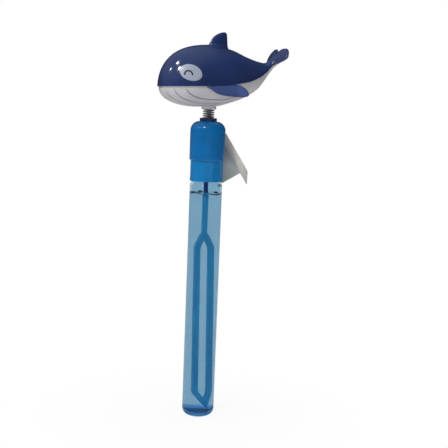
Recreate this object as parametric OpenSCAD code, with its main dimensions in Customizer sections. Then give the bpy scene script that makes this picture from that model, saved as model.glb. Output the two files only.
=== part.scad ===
// Bubble wand with a whale on a spring neck: a clear tube for bubble solution, a screw cap
// that carries the dipping wand, and a bobbing whale on top.
// Millimetres, +Z up, the origin at the middle of the tube's foot. The whale looks along -X.

/* [Tube] */
// Outside diameter of the tube
tube_d = 30; // [27:0.5:34]
// Wall of the tube
tube_wall = 1.3; // [0.8:0.1:1.6]
// Height of the tube's full-width wall
tube_h = 222; // [180:1:260]
// Thickness of the tube's floor
floor_t = 4; // [2:0.5:6]
// Radius of the rounded foot
foot_r = 7; // [4:0.5:9]
// Height of the sloping shoulder under the neck
shoulder_h = 2; // [1.5:0.25:4]
// Step from the tube's outside in to the neck
neck_inset = 2; // [1.75:0.25:3]
// Wall of the neck
neck_wall = 1.5; // [1:0.1:2]
// Height of the neck above the shoulder
neck_h = 16; // [12:0.5:22]

/* [Screw cap] */
// Gap between the tube's shoulder and the cap's skirt
skirt_gap = 1; // [0.5:0.1:2]
// Room between the neck and the cap's bore
cap_clear = 0.4; // [0.3:0.05:0.6]
// Wall of the skirt at its flats
skirt_wall = 1.3; // [1.1:0.1:2]
// Number of grip flats round the skirt
flats = 12; // [8:1:12]
// Height of the plain round rim under the flats
rim_h = 2.6; // [1.5:0.1:4]
// Thickness of the cap's top plate
plate_t = 2.6; // [1.6:0.1:4]
// Thickness of the sealing liner
liner_t = 1.4; // [0.8:0.1:2]
// Width of the sealing liner's ring
liner_w = 3; // [2:0.1:4]
// Wall of the socket that holds the wand
socket_wall = 1.8; // [1:0.1:2.5]
// Depth of the socket that holds the wand
socket_h = 12; // [8:0.5:14]

/* [Dome cover] */
// Height of the domed cover
dome_h = 36; // [30:1:44]
// How far the dome stands out past the corners of the skirt
dome_lap = 1; // [0.6:0.1:2]
// Radius of the dome's rounded shoulder
dome_shoulder_r = 8.5; // [6:0.5:8.5]
// Radius of the dome's lower edge
dome_edge_r = 1.1; // [0.6:0.1:1.4]
// Thickness of the dome's top
dome_t = 2.5; // [2:0.1:4]
// Height of the spigot that the dome is pressed on
spigot_h = 8; // [5:0.5:12]
// Step from the skirt's flats in to the spigot
spigot_step = 0.9; // [0.5:0.1:1.5]

/* [Wand] */
// Diameter of the wand's stem
stem_d = 4.2; // [3:0.1:5]
// Outside width of the wand's loop
loop_w = 14.6; // [12:0.2:18]
// Length of the loop from its tip to its fork
loop_h = 169; // [120:1:170]
// Width of the loop's rods
rod_w = 4.2; // [3:0.1:4.5]
// Thickness of the loop
loop_t = 3.2; // [2:0.1:4]
// Height over which the fork spreads
fork_h = 13; // [9:0.5:18]
// Height of the pointed end of the loop
point_h = 16; // [11:0.5:20]
// How far the loop leans to one side over its rods
loop_lean = 2.2; // [0:0.2:3]
// How far the pointed end lies to one side of the rods' middle
point_x = 4; // [0:0.2:5]
// Room between the wand's tip and the tube's floor
wand_clear = 2; // [1:0.5:6]

/* [Spring] */
// Outside diameter of the neck spring
spring_d = 11; // [9:0.25:12]
// Diameter of the spring wire
wire_d = 1.2; // [0.8:0.1:1.4]
// Rise of the spring in one turn
spring_pitch = 2; // [1.9:0.05:2.6]
// Length of spring that shows between the cup and the whale
spring_show = 8; // [6:0.5:12]
// Depth of the spring's seat in its cup
cup_depth = 5.5; // [4:0.25:7]
// Height of the cup's flange above the dome
cup_h = 3; // [2:0.25:4]
// Wall of the cup's flange
cup_wall = 2.05; // [1.5:0.05:3]
// Thickness of the cup's floor
cup_floor = 1.5; // [1:0.1:2.5]
// Depth of the spring's seat in the whale's plug
plug_depth = 5.5; // [4:0.25:7]
// Wall of the whale's plug
plug_wall = 0.95; // [0.8:0.05:1.5]
// Thickness of the plug's top
plug_top = 2; // [1:0.1:3]
// How far the plug stands out under the belly
plug_show = 2.3; // [1.5:0.1:4]
// Room between the spring and its seats
spring_clear = 0.35; // [0.3:0.05:0.5]

/* [Whale] */
// Length of the head from the crown to the nose
head_len = 43; // [36:0.5:50]
// Length from the crown to the end of the tail stock
tail_len = 66; // [56:0.5:76]
// How far the crown lies ahead of the spring
crown_ahead = 6; // [2:0.5:10]
// Half of the whale's width at the crown
half_w = 27; // [24:0.5:31]
// Height of the crown above the mouth line
back_rise = 37.3; // [32:0.5:42]
// Depth of the belly under the mouth line
belly_drop = 18.5; // [16:0.25:22]
// Wall of the whale's two shells
shell_wall = 1.6; // [1.2:0.1:2]
// How far the back shell stands out past the belly shell
lip_step = 1.2; // [0.6:0.1:1.6]
// Height that the mouth line climbs from the nose to the flukes
mouth_rise = 40.2; // [32:0.5:46]
// Length of the flukes behind the tail stock, at the notch
fluke_len = 5.5; // [4:0.5:8]
// How far the lobes of the flukes reach past the notch
lobe_len = 6.4; // [4:0.2:8]
// How far the outer ends of the flukes droop below their middle
fluke_arch = 4.6; // [2:0.2:6]
// Depth of the pleat grooves
groove_depth = 0.7; // [0.4:0.1:1]

/* [Fins and eyes] */
// Length of the dorsal fin's foot
fin_len = 18; // [14:0.5:22]
// Height of the dorsal fin
fin_h = 13.4; // [10:0.2:17]
// Thickness of the dorsal fin at its foot
fin_t = 6; // [4:0.25:8]
// Distance of the dorsal fin's front behind the crown
fin_back = 4.4; // [2:0.2:8]
// Length of the flipper's root along the mouth line
flipper_root = 30; // [25:0.5:34]
// Reach of the flipper behind its root
flipper_reach = 6; // [4:0.5:10]
// How far the flipper spreads outwards
flipper_spread = 10.5; // [7:0.5:13]
// How far the flipper hangs below the mouth line
flipper_drop = 8; // [5:0.5:11]
// Thickness of the flipper's edge
flipper_edge = 1.2; // [0.8:0.1:2]
// Length of the eye patch
eye_len = 19; // [15:0.2:21]
// Height of the eye patch
eye_h = 16.4; // [13:0.2:19]
// Distance of the eye patch's middle behind the nose
eye_back = 22; // [19:0.2:26]
// Height of the eye patch's middle above the mouth line
eye_up = 11.2; // [10:0.2:14]
// Thickness of the eye patch
eye_t = 0.4; // [0.3:0.05:0.8]

/* [Hang tag] */
// Length of the tag's fold
tag_fold = 28.5; // [22:0.5:34]
// Lean of the tag's fold from upright
tag_lean = 32; // [20:1:40]
// Width of the tag's back leaf
tag_w = 20; // [17:0.5:24]
// Height of the tag's front leaf above the fold
tag_rise = 13.2; // [9:0.2:16]
// How far the front leaf opens forwards
tag_open = 6; // [3:0.5:9]
// Length of the tag's bent end
tag_end = 13.5; // [9:0.5:17]
// How far the bent end turns back
tag_bend = 6; // [3:0.5:9]
// Thickness of the tag's card
card_t = 0.5; // [0.4:0.05:0.8]
// Height of the top of the fold above the dome's lower edge
tag_up = 12.6; // [9:0.2:16]
// Direction round the cap that the tag lies in, from +X
tag_turn = 68; // [50:1:90]

/* [Hidden] */

$fn = 96;

// One overrun for every cut, the press fit of the cap's pieces, and the seat of glued pieces
overrun = 0.5;
press_gap = 0.05;
glue_gap = 0.15;

// Tube and neck
tube_r = tube_d / 2;
bore_r = tube_r - tube_wall;
neck_r = tube_r - neck_inset;
mouth_r = neck_r - neck_wall;
neck_z = tube_h + neck_h;
bore_foot_r = foot_r - tube_wall;
room_h = tube_h - shoulder_h - tube_wall - floor_t;

// Screw cap, from the neck outwards
cap_bore_r = neck_r + cap_clear;
flat_r = cap_bore_r + skirt_wall;
corner_r = flat_r / cos(180 / flats);
skirt_z = tube_h + skirt_gap;
plate_z = neck_z + liner_t;
cap_z = plate_z + plate_t;
spigot_r = flat_r - spigot_step;
spigot_wall = skirt_wall;
socket_r = stem_d / 2 + socket_wall;

// Dome cover
dome_r = corner_r + dome_lap;
dome_bore_r = spigot_r + press_gap;
dome_z = cap_z + dome_h;
room_r = dome_bore_r - dome_lap;
room_shoulder_r = dome_shoulder_r - dome_t;

// Spring, its cup on the dome and its plug in the whale
seat_r = spring_d / 2 + spring_clear;
cup_r = seat_r + cup_wall;
cup_z = dome_z + cup_h;
cup_foot_z = cup_z - cup_depth;
cup_stem_r = cup_r - cup_wall / 2;
post_r = spring_d / 2 - wire_d - spring_clear;
plug_r = seat_r + plug_wall;
plug_z = cup_z + spring_show;
spring_top_z = plug_z + plug_depth;
coil_r = (spring_d - wire_d) / 2;
coil_z0 = cup_foot_z + wire_d;
coil_z1 = spring_top_z - wire_d;
coil_turns = (coil_z1 - coil_z0) / spring_pitch;
rings_per_turn = 8;
wire_sides = 6;

// Wand
tip_z = floor_t + wand_clear;
fork_z = tip_z + loop_h;
prong_x = (loop_w - rod_w) / 2;
loop_slant_share = 0.62;
loop_apex_share = 1.5;
loop_point_share = 2;
loop_point_x_share = 0.55;

// Whale, with its heights counted from the mouth line at the nose
crown_x = -crown_ahead;
nose_x = crown_x - head_len;
tail_x = crown_x + tail_len;
notch_x = tail_x + fluke_len;
mouth_end_x = notch_x + lobe_len;
belly_z = plug_z + plug_show;
blunt = 2.3;

// Curves of the whale along its length, as shares of its sizes
mouth_shares = [0, 0.017, 0.036, 0.073, 0.129, 0.225, 0.452, 0.98];
back_shares = [1, 0.936, 0.823, 0.622, 0.383, 0.16];
belly_shares = [1, 1.03, 0.93, 0.81, 0.65, 0.34];
width_shares = [1, 0.97, 0.86, 0.65, 0.39, 0.235];
fluke_back_shares = [0.16, 0.15, 0.15, 0.145, 0.125, 0.05];
fluke_belly_shares = [0.34, 0.29, 0.25, 0.2, 0.14, 0.06];
fluke_width_shares = [0.235, 0.36, 0.62, 0.8, 0.83];
fluke_full_share = 0.45;
lip_fade_share = 0.8;
lobe_peak_share = 0.6;
lobe_fall_share = 0.5;

// Pleat grooves: where each starts at the rim and how fast they close towards the tail
groove_shares = [0.815, 0.61, 0.35, 0];
groove_close_share = 0.3;
groove_end_share = 0.62;
groove_fade_share = 0.2;
groove_half_deg = 2.2;
groove_least_deg = 0.5;

// Rings and columns of the lofts
head_rings = 14;
tail_rings = 13;
fluke_rings = 8;
back_columns = 24;
fin_rings = 6;
fin_columns = 18;
flipper_rings = 12;
eye_spokes = 28;
eye_rings = 4;

// Flipper: the arc of the belly that its root covers, and its shares along the root
flipper_ahead_share = 0.42;
flipper_arc_deg = 17;
flipper_top_deg = 2;
flipper_start_share = 0.12;
flipper_bulge_share = 0.09;
flipper_free_share = 0.78;
flipper_tilt_deg = 47;
flipper_way = [0, -cos(flipper_tilt_deg), sin(flipper_tilt_deg)];
flipper_tip_w = 4 * flipper_edge;
flipper_tip_round = 8;
flipper_tip_share = 0.06;
flipper_width_shares = [0.1, 0.6, 0.86, 0.97, 1, 0.95];
flipper_drop_shares = [0.1, 0.72, 0.95, 1, 0.98, 0.62];

// Dorsal fin: how its front edge curves, its rear edge leans and its thickness falls
fin_curve = 1.8;
fin_top_share = 0.14;
fin_rear_share = 0.07;
fin_thin_share = 0.45;

// Eye patch: how its crown shifts to the nose and how flat it is below
eye_shift_share = 0.07;
eye_flat_share = 0.82;

function mix(a, b, t) = a + (b - a) * t;

function clamp01(t) = min(max(t, 0), 1);

// Smooth curve through evenly spaced values, level at its ends
function level_curve(v, t) =
    let (n = len(v) - 1, u = clamp01(t) * n, i = min(floor(u), n - 1), f = u - i)
    let (a = v[abs(i - 1)], b = v[i], c = v[i + 1], d = v[i + 2 > n ? n - 1 : i + 2])
    cubic(a, b, c, d, f);

// Smooth curve through evenly spaced values that runs on at its ends
function open_curve(v, t) =
    let (n = len(v) - 1, u = clamp01(t) * n, i = min(floor(u), n - 1), f = u - i)
    let (b = v[i], c = v[i + 1], a = i > 0 ? v[i - 1] : 2 * b - c, d = i + 2 > n ? 2 * c - b : v[i + 2])
    cubic(a, b, c, d, f);

function cubic(a, b, c, d, f) =
    b + f * (c - a) / 2 + f * f * (a - 2.5 * b + 2 * c - d / 2) + f * f * f * (3 * (b - c) + d - a) / 2;

// Swell of the head from the nose, where s is 1, to the crown, where s is 0
function swell(s) = pow(max(1 - pow(max(s, 0), blunt), 0), 1 / blunt);

// Height of the mouth line at x
function mouth(x) = mouth_rise * open_curve(mouth_shares, (x - nose_x) / (mouth_end_x - nose_x));

whale_z = belly_z + belly_drop - mouth(crown_x);

// Half width, rise and drop of the body at x, drawn in by d
function wide(x, d) =
    x < crown_x ? (half_w - d) * swell((crown_x - x) / (head_len - d))
    : half_w * level_curve(width_shares, (x - crown_x) / tail_len) - d;
function rise(x) =
    back_rise * (x < crown_x ? swell((crown_x - x) / head_len)
    : level_curve(back_shares, (x - crown_x) / tail_len));
function drop(x, d) =
    belly_drop * (x < crown_x ? swell((crown_x - x) / (head_len - d))
    : level_curve(belly_shares, (x - crown_x) / tail_len));

// Back edge of the flukes, from the notch at u = 0 to the lobes' outer corners at u = 1
function lobe(u) =
    u < lobe_peak_share ? 1 - pow(1 - u / lobe_peak_share, 2)
    : 1 - lobe_fall_share * pow((u - lobe_peak_share) / (1 - lobe_peak_share), 2);
function fluke_x(v, u) = mix(tail_x, notch_x + lobe_len * lobe(abs(u)), v);

// Point of a shell: t runs 0 to 1 from nose to crown, to 2 at the tail stock and to 3 at the flukes' edge.
// a is the angle round the section from one rim to the other, up is 1 for the back and -1 for the belly,
// and the section is drawn in by dw in plan and dh in height.
function shell_point(t, a, up, dw, dh) =
    let (u = -cos(a), high = up > 0 ? back_rise : belly_drop)
    let (v = t - 2, q = t - 1, s = cos(90 * t))
    let (shares = up > 0 ? back_shares : belly_shares)
    let (fluke_shares = up > 0 ? fluke_back_shares : fluke_belly_shares)
    let (x = t <= 1 ? crown_x - s * (head_len - dw) : t <= 2 ? crown_x + q * tail_len : fluke_x(v, u))
    let (w = t <= 1 ? (half_w - dw) * swell(s)
        : half_w * (t <= 2 ? level_curve(width_shares, q) : level_curve(fluke_width_shares, v)) - dw)
    let (h = t <= 1 ? (high - dh) * swell(s)
        : max(high * (t <= 2 ? level_curve(shares, q) : level_curve(fluke_shares, v)) - dh, 0))
    let (bow = fluke_arch * clamp01(v) * u * u)
    [x, w * u, mouth(x) - bow + up * h * pow(sin(a), mix(1, fluke_full_share, clamp01(v)))];

shell_steps = concat(
    [for (i = [1:head_rings]) i / head_rings],
    [for (i = [1:tail_rings]) 1 + i / tail_rings],
    [for (i = [1:fluke_rings]) 2 + sin(90 * i / fluke_rings)]
);

// Step of the rim under the back shell, which fades out along the flukes
function lip(t) = lip_step * (1 - lip_fade_share * max(t - 2, 0));

// Angles and depths of the belly's columns at step t, from one rim to the middle, three to a groove
function groove_x(k) = crown_x - (head_len - lip_step) * pow(1 - pow(groove_shares[k], blunt), 1 / blunt);
function groove_y(k, x) =
    half_w * groove_shares[k] * (1 - groove_close_share * clamp01((x - groove_x(k)) / tail_len));
function groove_deg(k, x, w) = acos(clamp01(groove_y(k, x) / max(w, overrun)));
function groove_fade(t, deg) =
    clamp01((deg - 2 * groove_half_deg) / groove_half_deg)
    * clamp01((1 + groove_end_share - t) / groove_fade_share);
function groove_at(k, t) =
    let (p = shell_point(t, 0, -1, lip(t), 0), least = (4 * k + 3) * groove_least_deg)
    k == len(groove_shares) - 1 ? 90 : max(groove_deg(k, p[0], -p[1]), least);
function half_columns(t) =
    let (spots = [for (k = [0:len(groove_shares) - 1]) groove_at(k, t)])
    concat(
        [[0, 0]],
        [for (k = [0:len(spots) - 1])
            let (before = k == 0 ? 0 : spots[k - 1], gap = spots[k] - before)
            let (half = min(groove_half_deg, gap / 4), start = before + (k == 0 ? 0 : half))
            let (room = spots[k] - half - start, deep = groove_depth * groove_fade(t, spots[k]))
            for (c = [[start + room / 3, 0], [start + room * 2 / 3, 0], [spots[k] - half, 0],
                [spots[k], deep], [spots[k] + half, 0]])
                if (c[0] <= 90) c]
    );
function belly_columns(t) =
    let (h = half_columns(t), n = len(h))
    concat(h, [for (i = [2:n]) [180 - h[n - i][0], h[n - i][1]]]);

// Faces of a thick sheet whose two sides each start in one point: n rings of m points a side
function sheet_faces(n, m) =
    let (b = 1 + n * m)
    concat(
        [for (j = [0:m - 2]) [0, 1 + j, 2 + j]],
        [for (j = [0:m - 2]) [b, b + 2 + j, b + 1 + j]],
        [for (i = [0:n - 2], j = [0:m - 2], k = [0, 1])
            let (p = 1 + i * m + j)
            k == 0 ? [p, p + m, p + 1] : [p + 1, p + m, p + m + 1]],
        [for (i = [0:n - 2], j = [0:m - 2], k = [0, 1])
            let (p = b + 1 + i * m + j)
            k == 0 ? [p, p + 1, p + m] : [p + 1, p + m + 1, p + m]],
        [for (e = [0, m - 1], i = [0:n - 2], k = [0, 1])
            let (p = 1 + i * m + e, q = b + p, f = k == 0 ? [p, q, p + m] : [q, q + m, p + m])
            e == 0 ? f : [f[2], f[1], f[0]]],
        [for (e = [0, m - 1], k = [0, 1])
            let (p = 1 + e, q = b + p, f = k == 0 ? [0, b, p] : [b, q, p])
            e == 0 ? f : [f[2], f[1], f[0]]],
        [for (j = [0:m - 2], k = [0, 1])
            let (p = 1 + (n - 1) * m + j, q = b + p)
            k == 0 ? [p, q, p + 1] : [p + 1, q, q + 1]]
    );

function flipped(faces) = [for (f = faces) [f[2], f[1], f[0]]];

// Faces of a closed loft of n rings of m points, with a flat fan at each end
function loft_faces(n, m) =
    concat(
        [for (i = [0:n - 2], j = [0:m - 1], k = [0, 1])
            let (a = i * m + j, b = i * m + (j + 1) % m)
            k == 0 ? [a, b, a + m] : [b, b + m, a + m]],
        [for (j = [1:m - 2]) [0, j + 1, j]],
        [for (j = [1:m - 2]) [(n - 1) * m, (n - 1) * m + j, (n - 1) * m + j + 1]]
    );

// Path of the spring's wire: a straight end, the turns and a straight end
coil_steps = round(coil_turns * rings_per_turn);
function coil_point(i) =
    let (a = 360 * coil_turns * i / coil_steps)
    [coil_r * cos(a), coil_r * sin(a), mix(coil_z0, coil_z1, i / coil_steps)];
coil_path = concat(
    [[coil_r, 0, cup_foot_z]],
    [for (i = [0:coil_steps]) coil_point(i)],
    [let (p = coil_point(coil_steps)) [p[0], p[1], spring_top_z]]
);
function unit(v) = v / norm(v);
function path_way(i) =
    let (n = len(coil_path) - 1)
    i == 0 || i == n ? [0, 0, 1]
    : unit(unit(coil_path[i] - coil_path[i - 1]) + unit(coil_path[i + 1] - coil_path[i]));
function wire_ring(i) =
    let (c = coil_path[i], way = path_way(i), out = unit([c[0], c[1], 0]))
    let (side = unit(cross(way, out)), lift = cross(side, way))
    [for (k = [0:wire_sides - 1])
        let (a = 360 * k / wire_sides)
        c + wire_d / 2 * (cos(a) * lift + sin(a) * side)];

// Least gap of the spring to itself, measured between points at least half a turn apart
coil_gap = min([for (i = [0:len(coil_path) - 1], j = [0:len(coil_path) - 1])
    if (j - i >= rings_per_turn / 2) norm(coil_path[i] - coil_path[j])]) - wire_d;
echo(least_gap_of_the_neck_spring = coil_gap);

module ring(r_out, r_in, h) {
    difference() {
        cylinder(r = r_out, h = h);
        translate([0, 0, -overrun]) cylinder(r = r_in, h = h + 2 * overrun);
    }
}

module tube() {
    color("lightblue") rotate_extrude() difference() {
        bottle_profile(tube_r, neck_r, foot_r, tube_h - shoulder_h, neck_z);
        translate([0, floor_t])
            bottle_profile(bore_r, mouth_r, bore_foot_r, room_h, neck_z + overrun);
    }
}

// Half profile of a bottle: a rounded foot, a straight side of height h, a sloping shoulder and a neck
module bottle_profile(r, r_neck, fillet, h, top) {
    square([r - fillet, h]);
    translate([0, fillet]) square([r, h - fillet]);
    translate([r - fillet, fillet]) circle(fillet);
    polygon([[0, h - fillet], [r, h - fillet], [r, h], [r_neck, h + shoulder_h], [r_neck, top], [0, top]]);
}

module cap_liner() {
    color("whitesmoke") translate([0, 0, neck_z]) ring(neck_r, neck_r - liner_w, liner_t);
}

module screw_cap() {
    color("dodgerblue") difference() {
        union() {
            translate([0, 0, skirt_z]) cylinder(r = corner_r, h = rim_h);
            translate([0, 0, skirt_z]) cylinder(r = corner_r, h = cap_z - skirt_z, $fn = flats);
            translate([0, 0, cap_z - plate_t]) cylinder(r = spigot_r, h = plate_t + spigot_h);
        }
        translate([0, 0, cap_z]) cylinder(r = spigot_r - spigot_wall, h = spigot_h + overrun);
        difference() {
            translate([0, 0, skirt_z - overrun]) cylinder(r = cap_bore_r, h = plate_z - skirt_z + overrun);
            translate([0, 0, plate_z - socket_h]) ring(socket_r, stem_d / 2, socket_h + overrun);
        }
    }
}

module dome_cover() {
    color("royalblue") translate([0, 0, cap_z]) difference() {
        rotate_extrude() dome_profile();
        translate([0, 0, -overrun]) cylinder(r = dome_bore_r, h = spigot_h + overrun);
        rotate_extrude() dome_room_profile();
        cylinder(r = cup_stem_r, h = dome_h + overrun);
    }
}

// Outside of the dome: a round shoulder above and a small round edge below
module dome_profile() {
    square([dome_r - dome_shoulder_r, dome_h]);
    square([dome_r - dome_edge_r, dome_h - dome_shoulder_r]);
    translate([0, dome_edge_r]) square([dome_r, dome_h - dome_shoulder_r - dome_edge_r]);
    translate([dome_r - dome_edge_r, dome_edge_r]) circle(dome_edge_r);
    translate([dome_r - dome_shoulder_r, dome_h - dome_shoulder_r]) round_corner(dome_shoulder_r);
}

// Inside of the dome above the spigot
module dome_room_profile() {
    square([room_r - room_shoulder_r, dome_h - dome_t]);
    square([room_r, dome_h - dome_t - room_shoulder_r]);
    translate([room_r - room_shoulder_r, dome_h - dome_t - room_shoulder_r]) round_corner(room_shoulder_r);
}

// Quarter of a disc
module round_corner(r) {
    intersection() {
        circle(r);
        square(r);
    }
}

module spring_cup() {
    color("midnightblue") difference() {
        union() {
            translate([0, 0, dome_z]) cylinder(r = cup_r, h = cup_h);
            translate([0, 0, cup_foot_z - cup_floor])
                cylinder(r = cup_stem_r, h = cup_depth + cup_floor - cup_h);
        }
        translate([0, 0, cup_foot_z]) ring(seat_r, post_r, cup_depth + overrun);
        translate([0, 0, cup_z - cup_h / 3]) cylinder(r = seat_r, h = cup_h);
    }
}

module wand() {
    color("steelblue") {
        translate([0, 0, fork_z - fork_h / 2]) cylinder(d = stem_d, h = plate_z - fork_z + fork_h / 2);
        translate([0, loop_t / 2, 0]) rotate([90, 0, 0]) linear_extrude(loop_t) loop_profile();
    }
}

// Long loop of the wand: a fork above, two straight rods and a pointed end
module loop_profile() {
    thick = rod_w / 2;
    slant = rod_w * loop_slant_share;
    foot_x = loop_lean;
    difference() {
        polygon([
            [foot_x + point_x, tip_z], [foot_x + prong_x + thick, tip_z + point_h],
            [prong_x + thick, fork_z - fork_h], [stem_d / 2, fork_z],
            [-stem_d / 2, fork_z], [-prong_x - thick, fork_z - fork_h],
            [foot_x - prong_x - thick, tip_z + point_h]
        ]);
        polygon([
            [foot_x + point_x * loop_point_x_share, tip_z + rod_w * loop_point_share],
            [foot_x + prong_x - thick, tip_z + point_h + slant],
            [prong_x - thick, fork_z - fork_h - slant], [0, fork_z - rod_w * loop_apex_share],
            [-prong_x + thick, fork_z - fork_h - slant],
            [foot_x - prong_x + thick, tip_z + point_h + slant]
        ]);
    }
}

// Flat card between four corners, given in order round its edge
module card(p) {
    n = unit(cross(p[1] - p[0], p[2] - p[0])) * card_t / 2;
    polyhedron(
        points = concat([for (q = p) q - n], [for (q = p) q + n]),
        faces = [
            [0, 1, 2], [0, 2, 3], [4, 6, 5], [4, 7, 6], [0, 4, 5], [0, 5, 1],
            [1, 5, 6], [1, 6, 2], [2, 6, 7], [2, 7, 3], [3, 7, 4], [3, 4, 0]
        ]
    );
}

// Folded card: a back leaf behind the dome, a front leaf along the fold and its bent end.
// In the tag's own frame X runs along the back leaf, Y away from the dome and Z up.
module hang_tag() {
    seat_y = dome_r + glue_gap + card_t / 2;
    along = tag_fold * [sin(tag_lean), 0, -cos(tag_lean)];
    across = tag_w * [-cos(tag_lean), 0, -sin(tag_lean)];
    fold_top = [dome_r + card_t, seat_y, tag_up];
    fold_foot = fold_top + along;
    opened = [0, -tag_open, tag_rise];
    bent = tag_end * unit(along) + [0, tag_bend, 0];
    color("white") translate([0, 0, cap_z]) rotate([0, 0, tag_turn - 90]) {
        card([fold_top, fold_foot, fold_foot + across, fold_top + across]);
        card([fold_foot, fold_top, fold_top + opened, fold_foot + opened]);
        card([fold_foot, fold_foot + opened, fold_foot + opened + bent, fold_foot + bent]);
    }
}

module neck_spring() {
    n = len(coil_path);
    color("silver") polyhedron(
        points = [for (i = [0:n - 1], p = wire_ring(i)) p],
        faces = flipped(loft_faces(n, wire_sides))
    );
}

module neck_plug() {
    color("lightgray") translate([0, 0, plug_z]) difference() {
        cylinder(r = plug_r, h = plug_depth + plug_top);
        translate([0, 0, -overrun]) cylinder(r = seat_r, h = plug_depth + overrun);
    }
}

module whale_back() {
    turns = [for (j = [0:back_columns]) 180 * j / back_columns];
    outer = [for (t = shell_steps, a = turns) shell_point(t, a, 1, 0, 0)];
    inner = [for (t = shell_steps, a = turns) shell_point(t, a, 1, shell_wall, shell_wall)];
    nose = shell_point(0, 0, 1, 0, 0);
    room = shell_point(0, 0, 1, shell_wall, shell_wall);
    color("midnightblue") translate([0, 0, whale_z]) polyhedron(
        points = concat([nose], outer, [room], inner),
        faces = flipped(sheet_faces(len(shell_steps), len(turns)))
    );
}

module whale_belly() {
    m = len(belly_columns(1));
    outer = [for (t = shell_steps, c = belly_columns(t)) shell_point(t, c[0], -1, lip(t) + c[1], c[1])];
    inner = [for (t = shell_steps, c = belly_columns(t))
        shell_point(t, c[0], -1, lip(t) + shell_wall, shell_wall)];
    nose = shell_point(0, 0, -1, lip_step, 0);
    room = shell_point(0, 0, -1, lip_step + shell_wall, shell_wall);
    color("whitesmoke") difference() {
        translate([0, 0, whale_z]) polyhedron(
            points = concat([nose], outer, [room], inner),
            faces = sheet_faces(len(shell_steps), m)
        );
        translate([0, 0, plug_z]) cylinder(r = plug_r, h = plug_depth + plug_top);
    }
}

// Top of the back at x and y
function back_top(x, y) = mouth(x) + rise(x) * sqrt(1 - pow(y / wide(x, 0), 2));

// Ring of the dorsal fin at share v of its height; the foot follows the back
function fin_ring(v) =
    let (start_x = crown_x + fin_back, end_x = start_x + fin_len)
    let (foot_z = back_top(mix(start_x, end_x, 0.5), 0))
    let (top_x = end_x - fin_len * (fin_rear_share + fin_top_share))
    let (front = mix(start_x, top_x, 1 - pow(1 - pow(v, fin_curve), 1 / fin_curve)))
    let (rear = end_x - fin_len * fin_rear_share * v, half = fin_t / 2 * mix(1, fin_thin_share, v))
    [for (k = [0:fin_columns - 1])
        let (a = 360 * k / fin_columns, x = mix(front, rear, (1 - cos(a)) / 2), y = half * sin(a))
        [x, y, mix(back_top(x, y) + glue_gap, foot_z + fin_h, v)]];

module dorsal_fin() {
    color("midnightblue") translate([0, 0, whale_z]) polyhedron(
        points = [for (i = [0:fin_rings], p = fin_ring(sin(90 * i / fin_rings))) p],
        faces = loft_faces(fin_rings + 1, fin_columns)
    );
}

// Point on the outside of the belly at x, a degrees down from its rim on the left
function belly_side(x, a) =
    let (w = wide(x, lip_step) + glue_gap, h = drop(x, lip_step) + glue_gap)
    [x, -w * cos(a), mouth(x) - h * sin(a)];

// Ring of the left flipper at share p of its length: over the top to the edge, back below and up the root,
// which lies on the belly first and then runs free to the tip
function flipper_ring(p) =
    let (front_x = -flipper_ahead_share * flipper_root, reach = flipper_root + flipper_reach)
    let (q = min(p / flipper_free_share, 1))
    let (keep = 1 - clamp01((p - flipper_free_share) / (1 - flipper_free_share)))
    let (x = mix(front_x, front_x + flipper_root, q))
    let (arc = flipper_arc_deg * mix(flipper_start_share, 1, sin(90 * min(2 * q, 1))))
    let (edge = [front_x + reach * p,
        belly_side(0, 0)[1] - flipper_spread * level_curve(flipper_width_shares, p),
        mouth(front_x) - flipper_drop * level_curve(flipper_drop_shares, p)])
    let (thick = flipper_edge / 2 * flipper_way)
    let (tip_w = flipper_tip_w * sqrt(max(1 - pow(p, flipper_tip_round), flipper_tip_share)))
    let (trail = edge + tip_w * [0, flipper_way[2], -flipper_way[1]])
    let (top = mix(trail + thick, belly_side(x, flipper_top_deg), keep))
    let (mid = mix(trail, belly_side(x, flipper_top_deg + arc / 2), keep))
    let (low = mix(trail - thick, belly_side(x, flipper_top_deg + arc), keep))
    let (bulge = flipper_way * flipper_spread * flipper_bulge_share * keep)
    [mix(top, edge + thick, 0.5) + bulge, edge + thick, edge - thick,
        mix(low, edge - thick, 0.5), low, mid, top];

module flipper_left() {
    rings = [for (i = [0:flipper_rings]) flipper_ring(i / flipper_rings)];
    color("midnightblue") translate([0, 0, whale_z]) polyhedron(
        points = [for (r = rings, p = r) p],
        faces = flipped(loft_faces(flipper_rings + 1, len(rings[0])))
    );
}

module flipper_right() {
    mirror([0, 1, 0]) flipper_left();
}

// Left side of the back at x and height z, stood off by d
function back_side(x, z, d) = [x, -wide(x, 0) * sqrt(1 - pow((z - mouth(x)) / rise(x), 2)) - d, z];

// Egg-shaped outline of the eye patch, at share r of its size
function eye_outline(r, a) =
    let (x = nose_x + eye_back + r * (eye_len / 2 * cos(a) - eye_shift_share * eye_h * sin(a)))
    let (z = mouth(nose_x + eye_back) + eye_up + r * eye_h / 2 * sin(a) * (sin(a) < 0 ? eye_flat_share : 1))
    [x, z];

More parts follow.
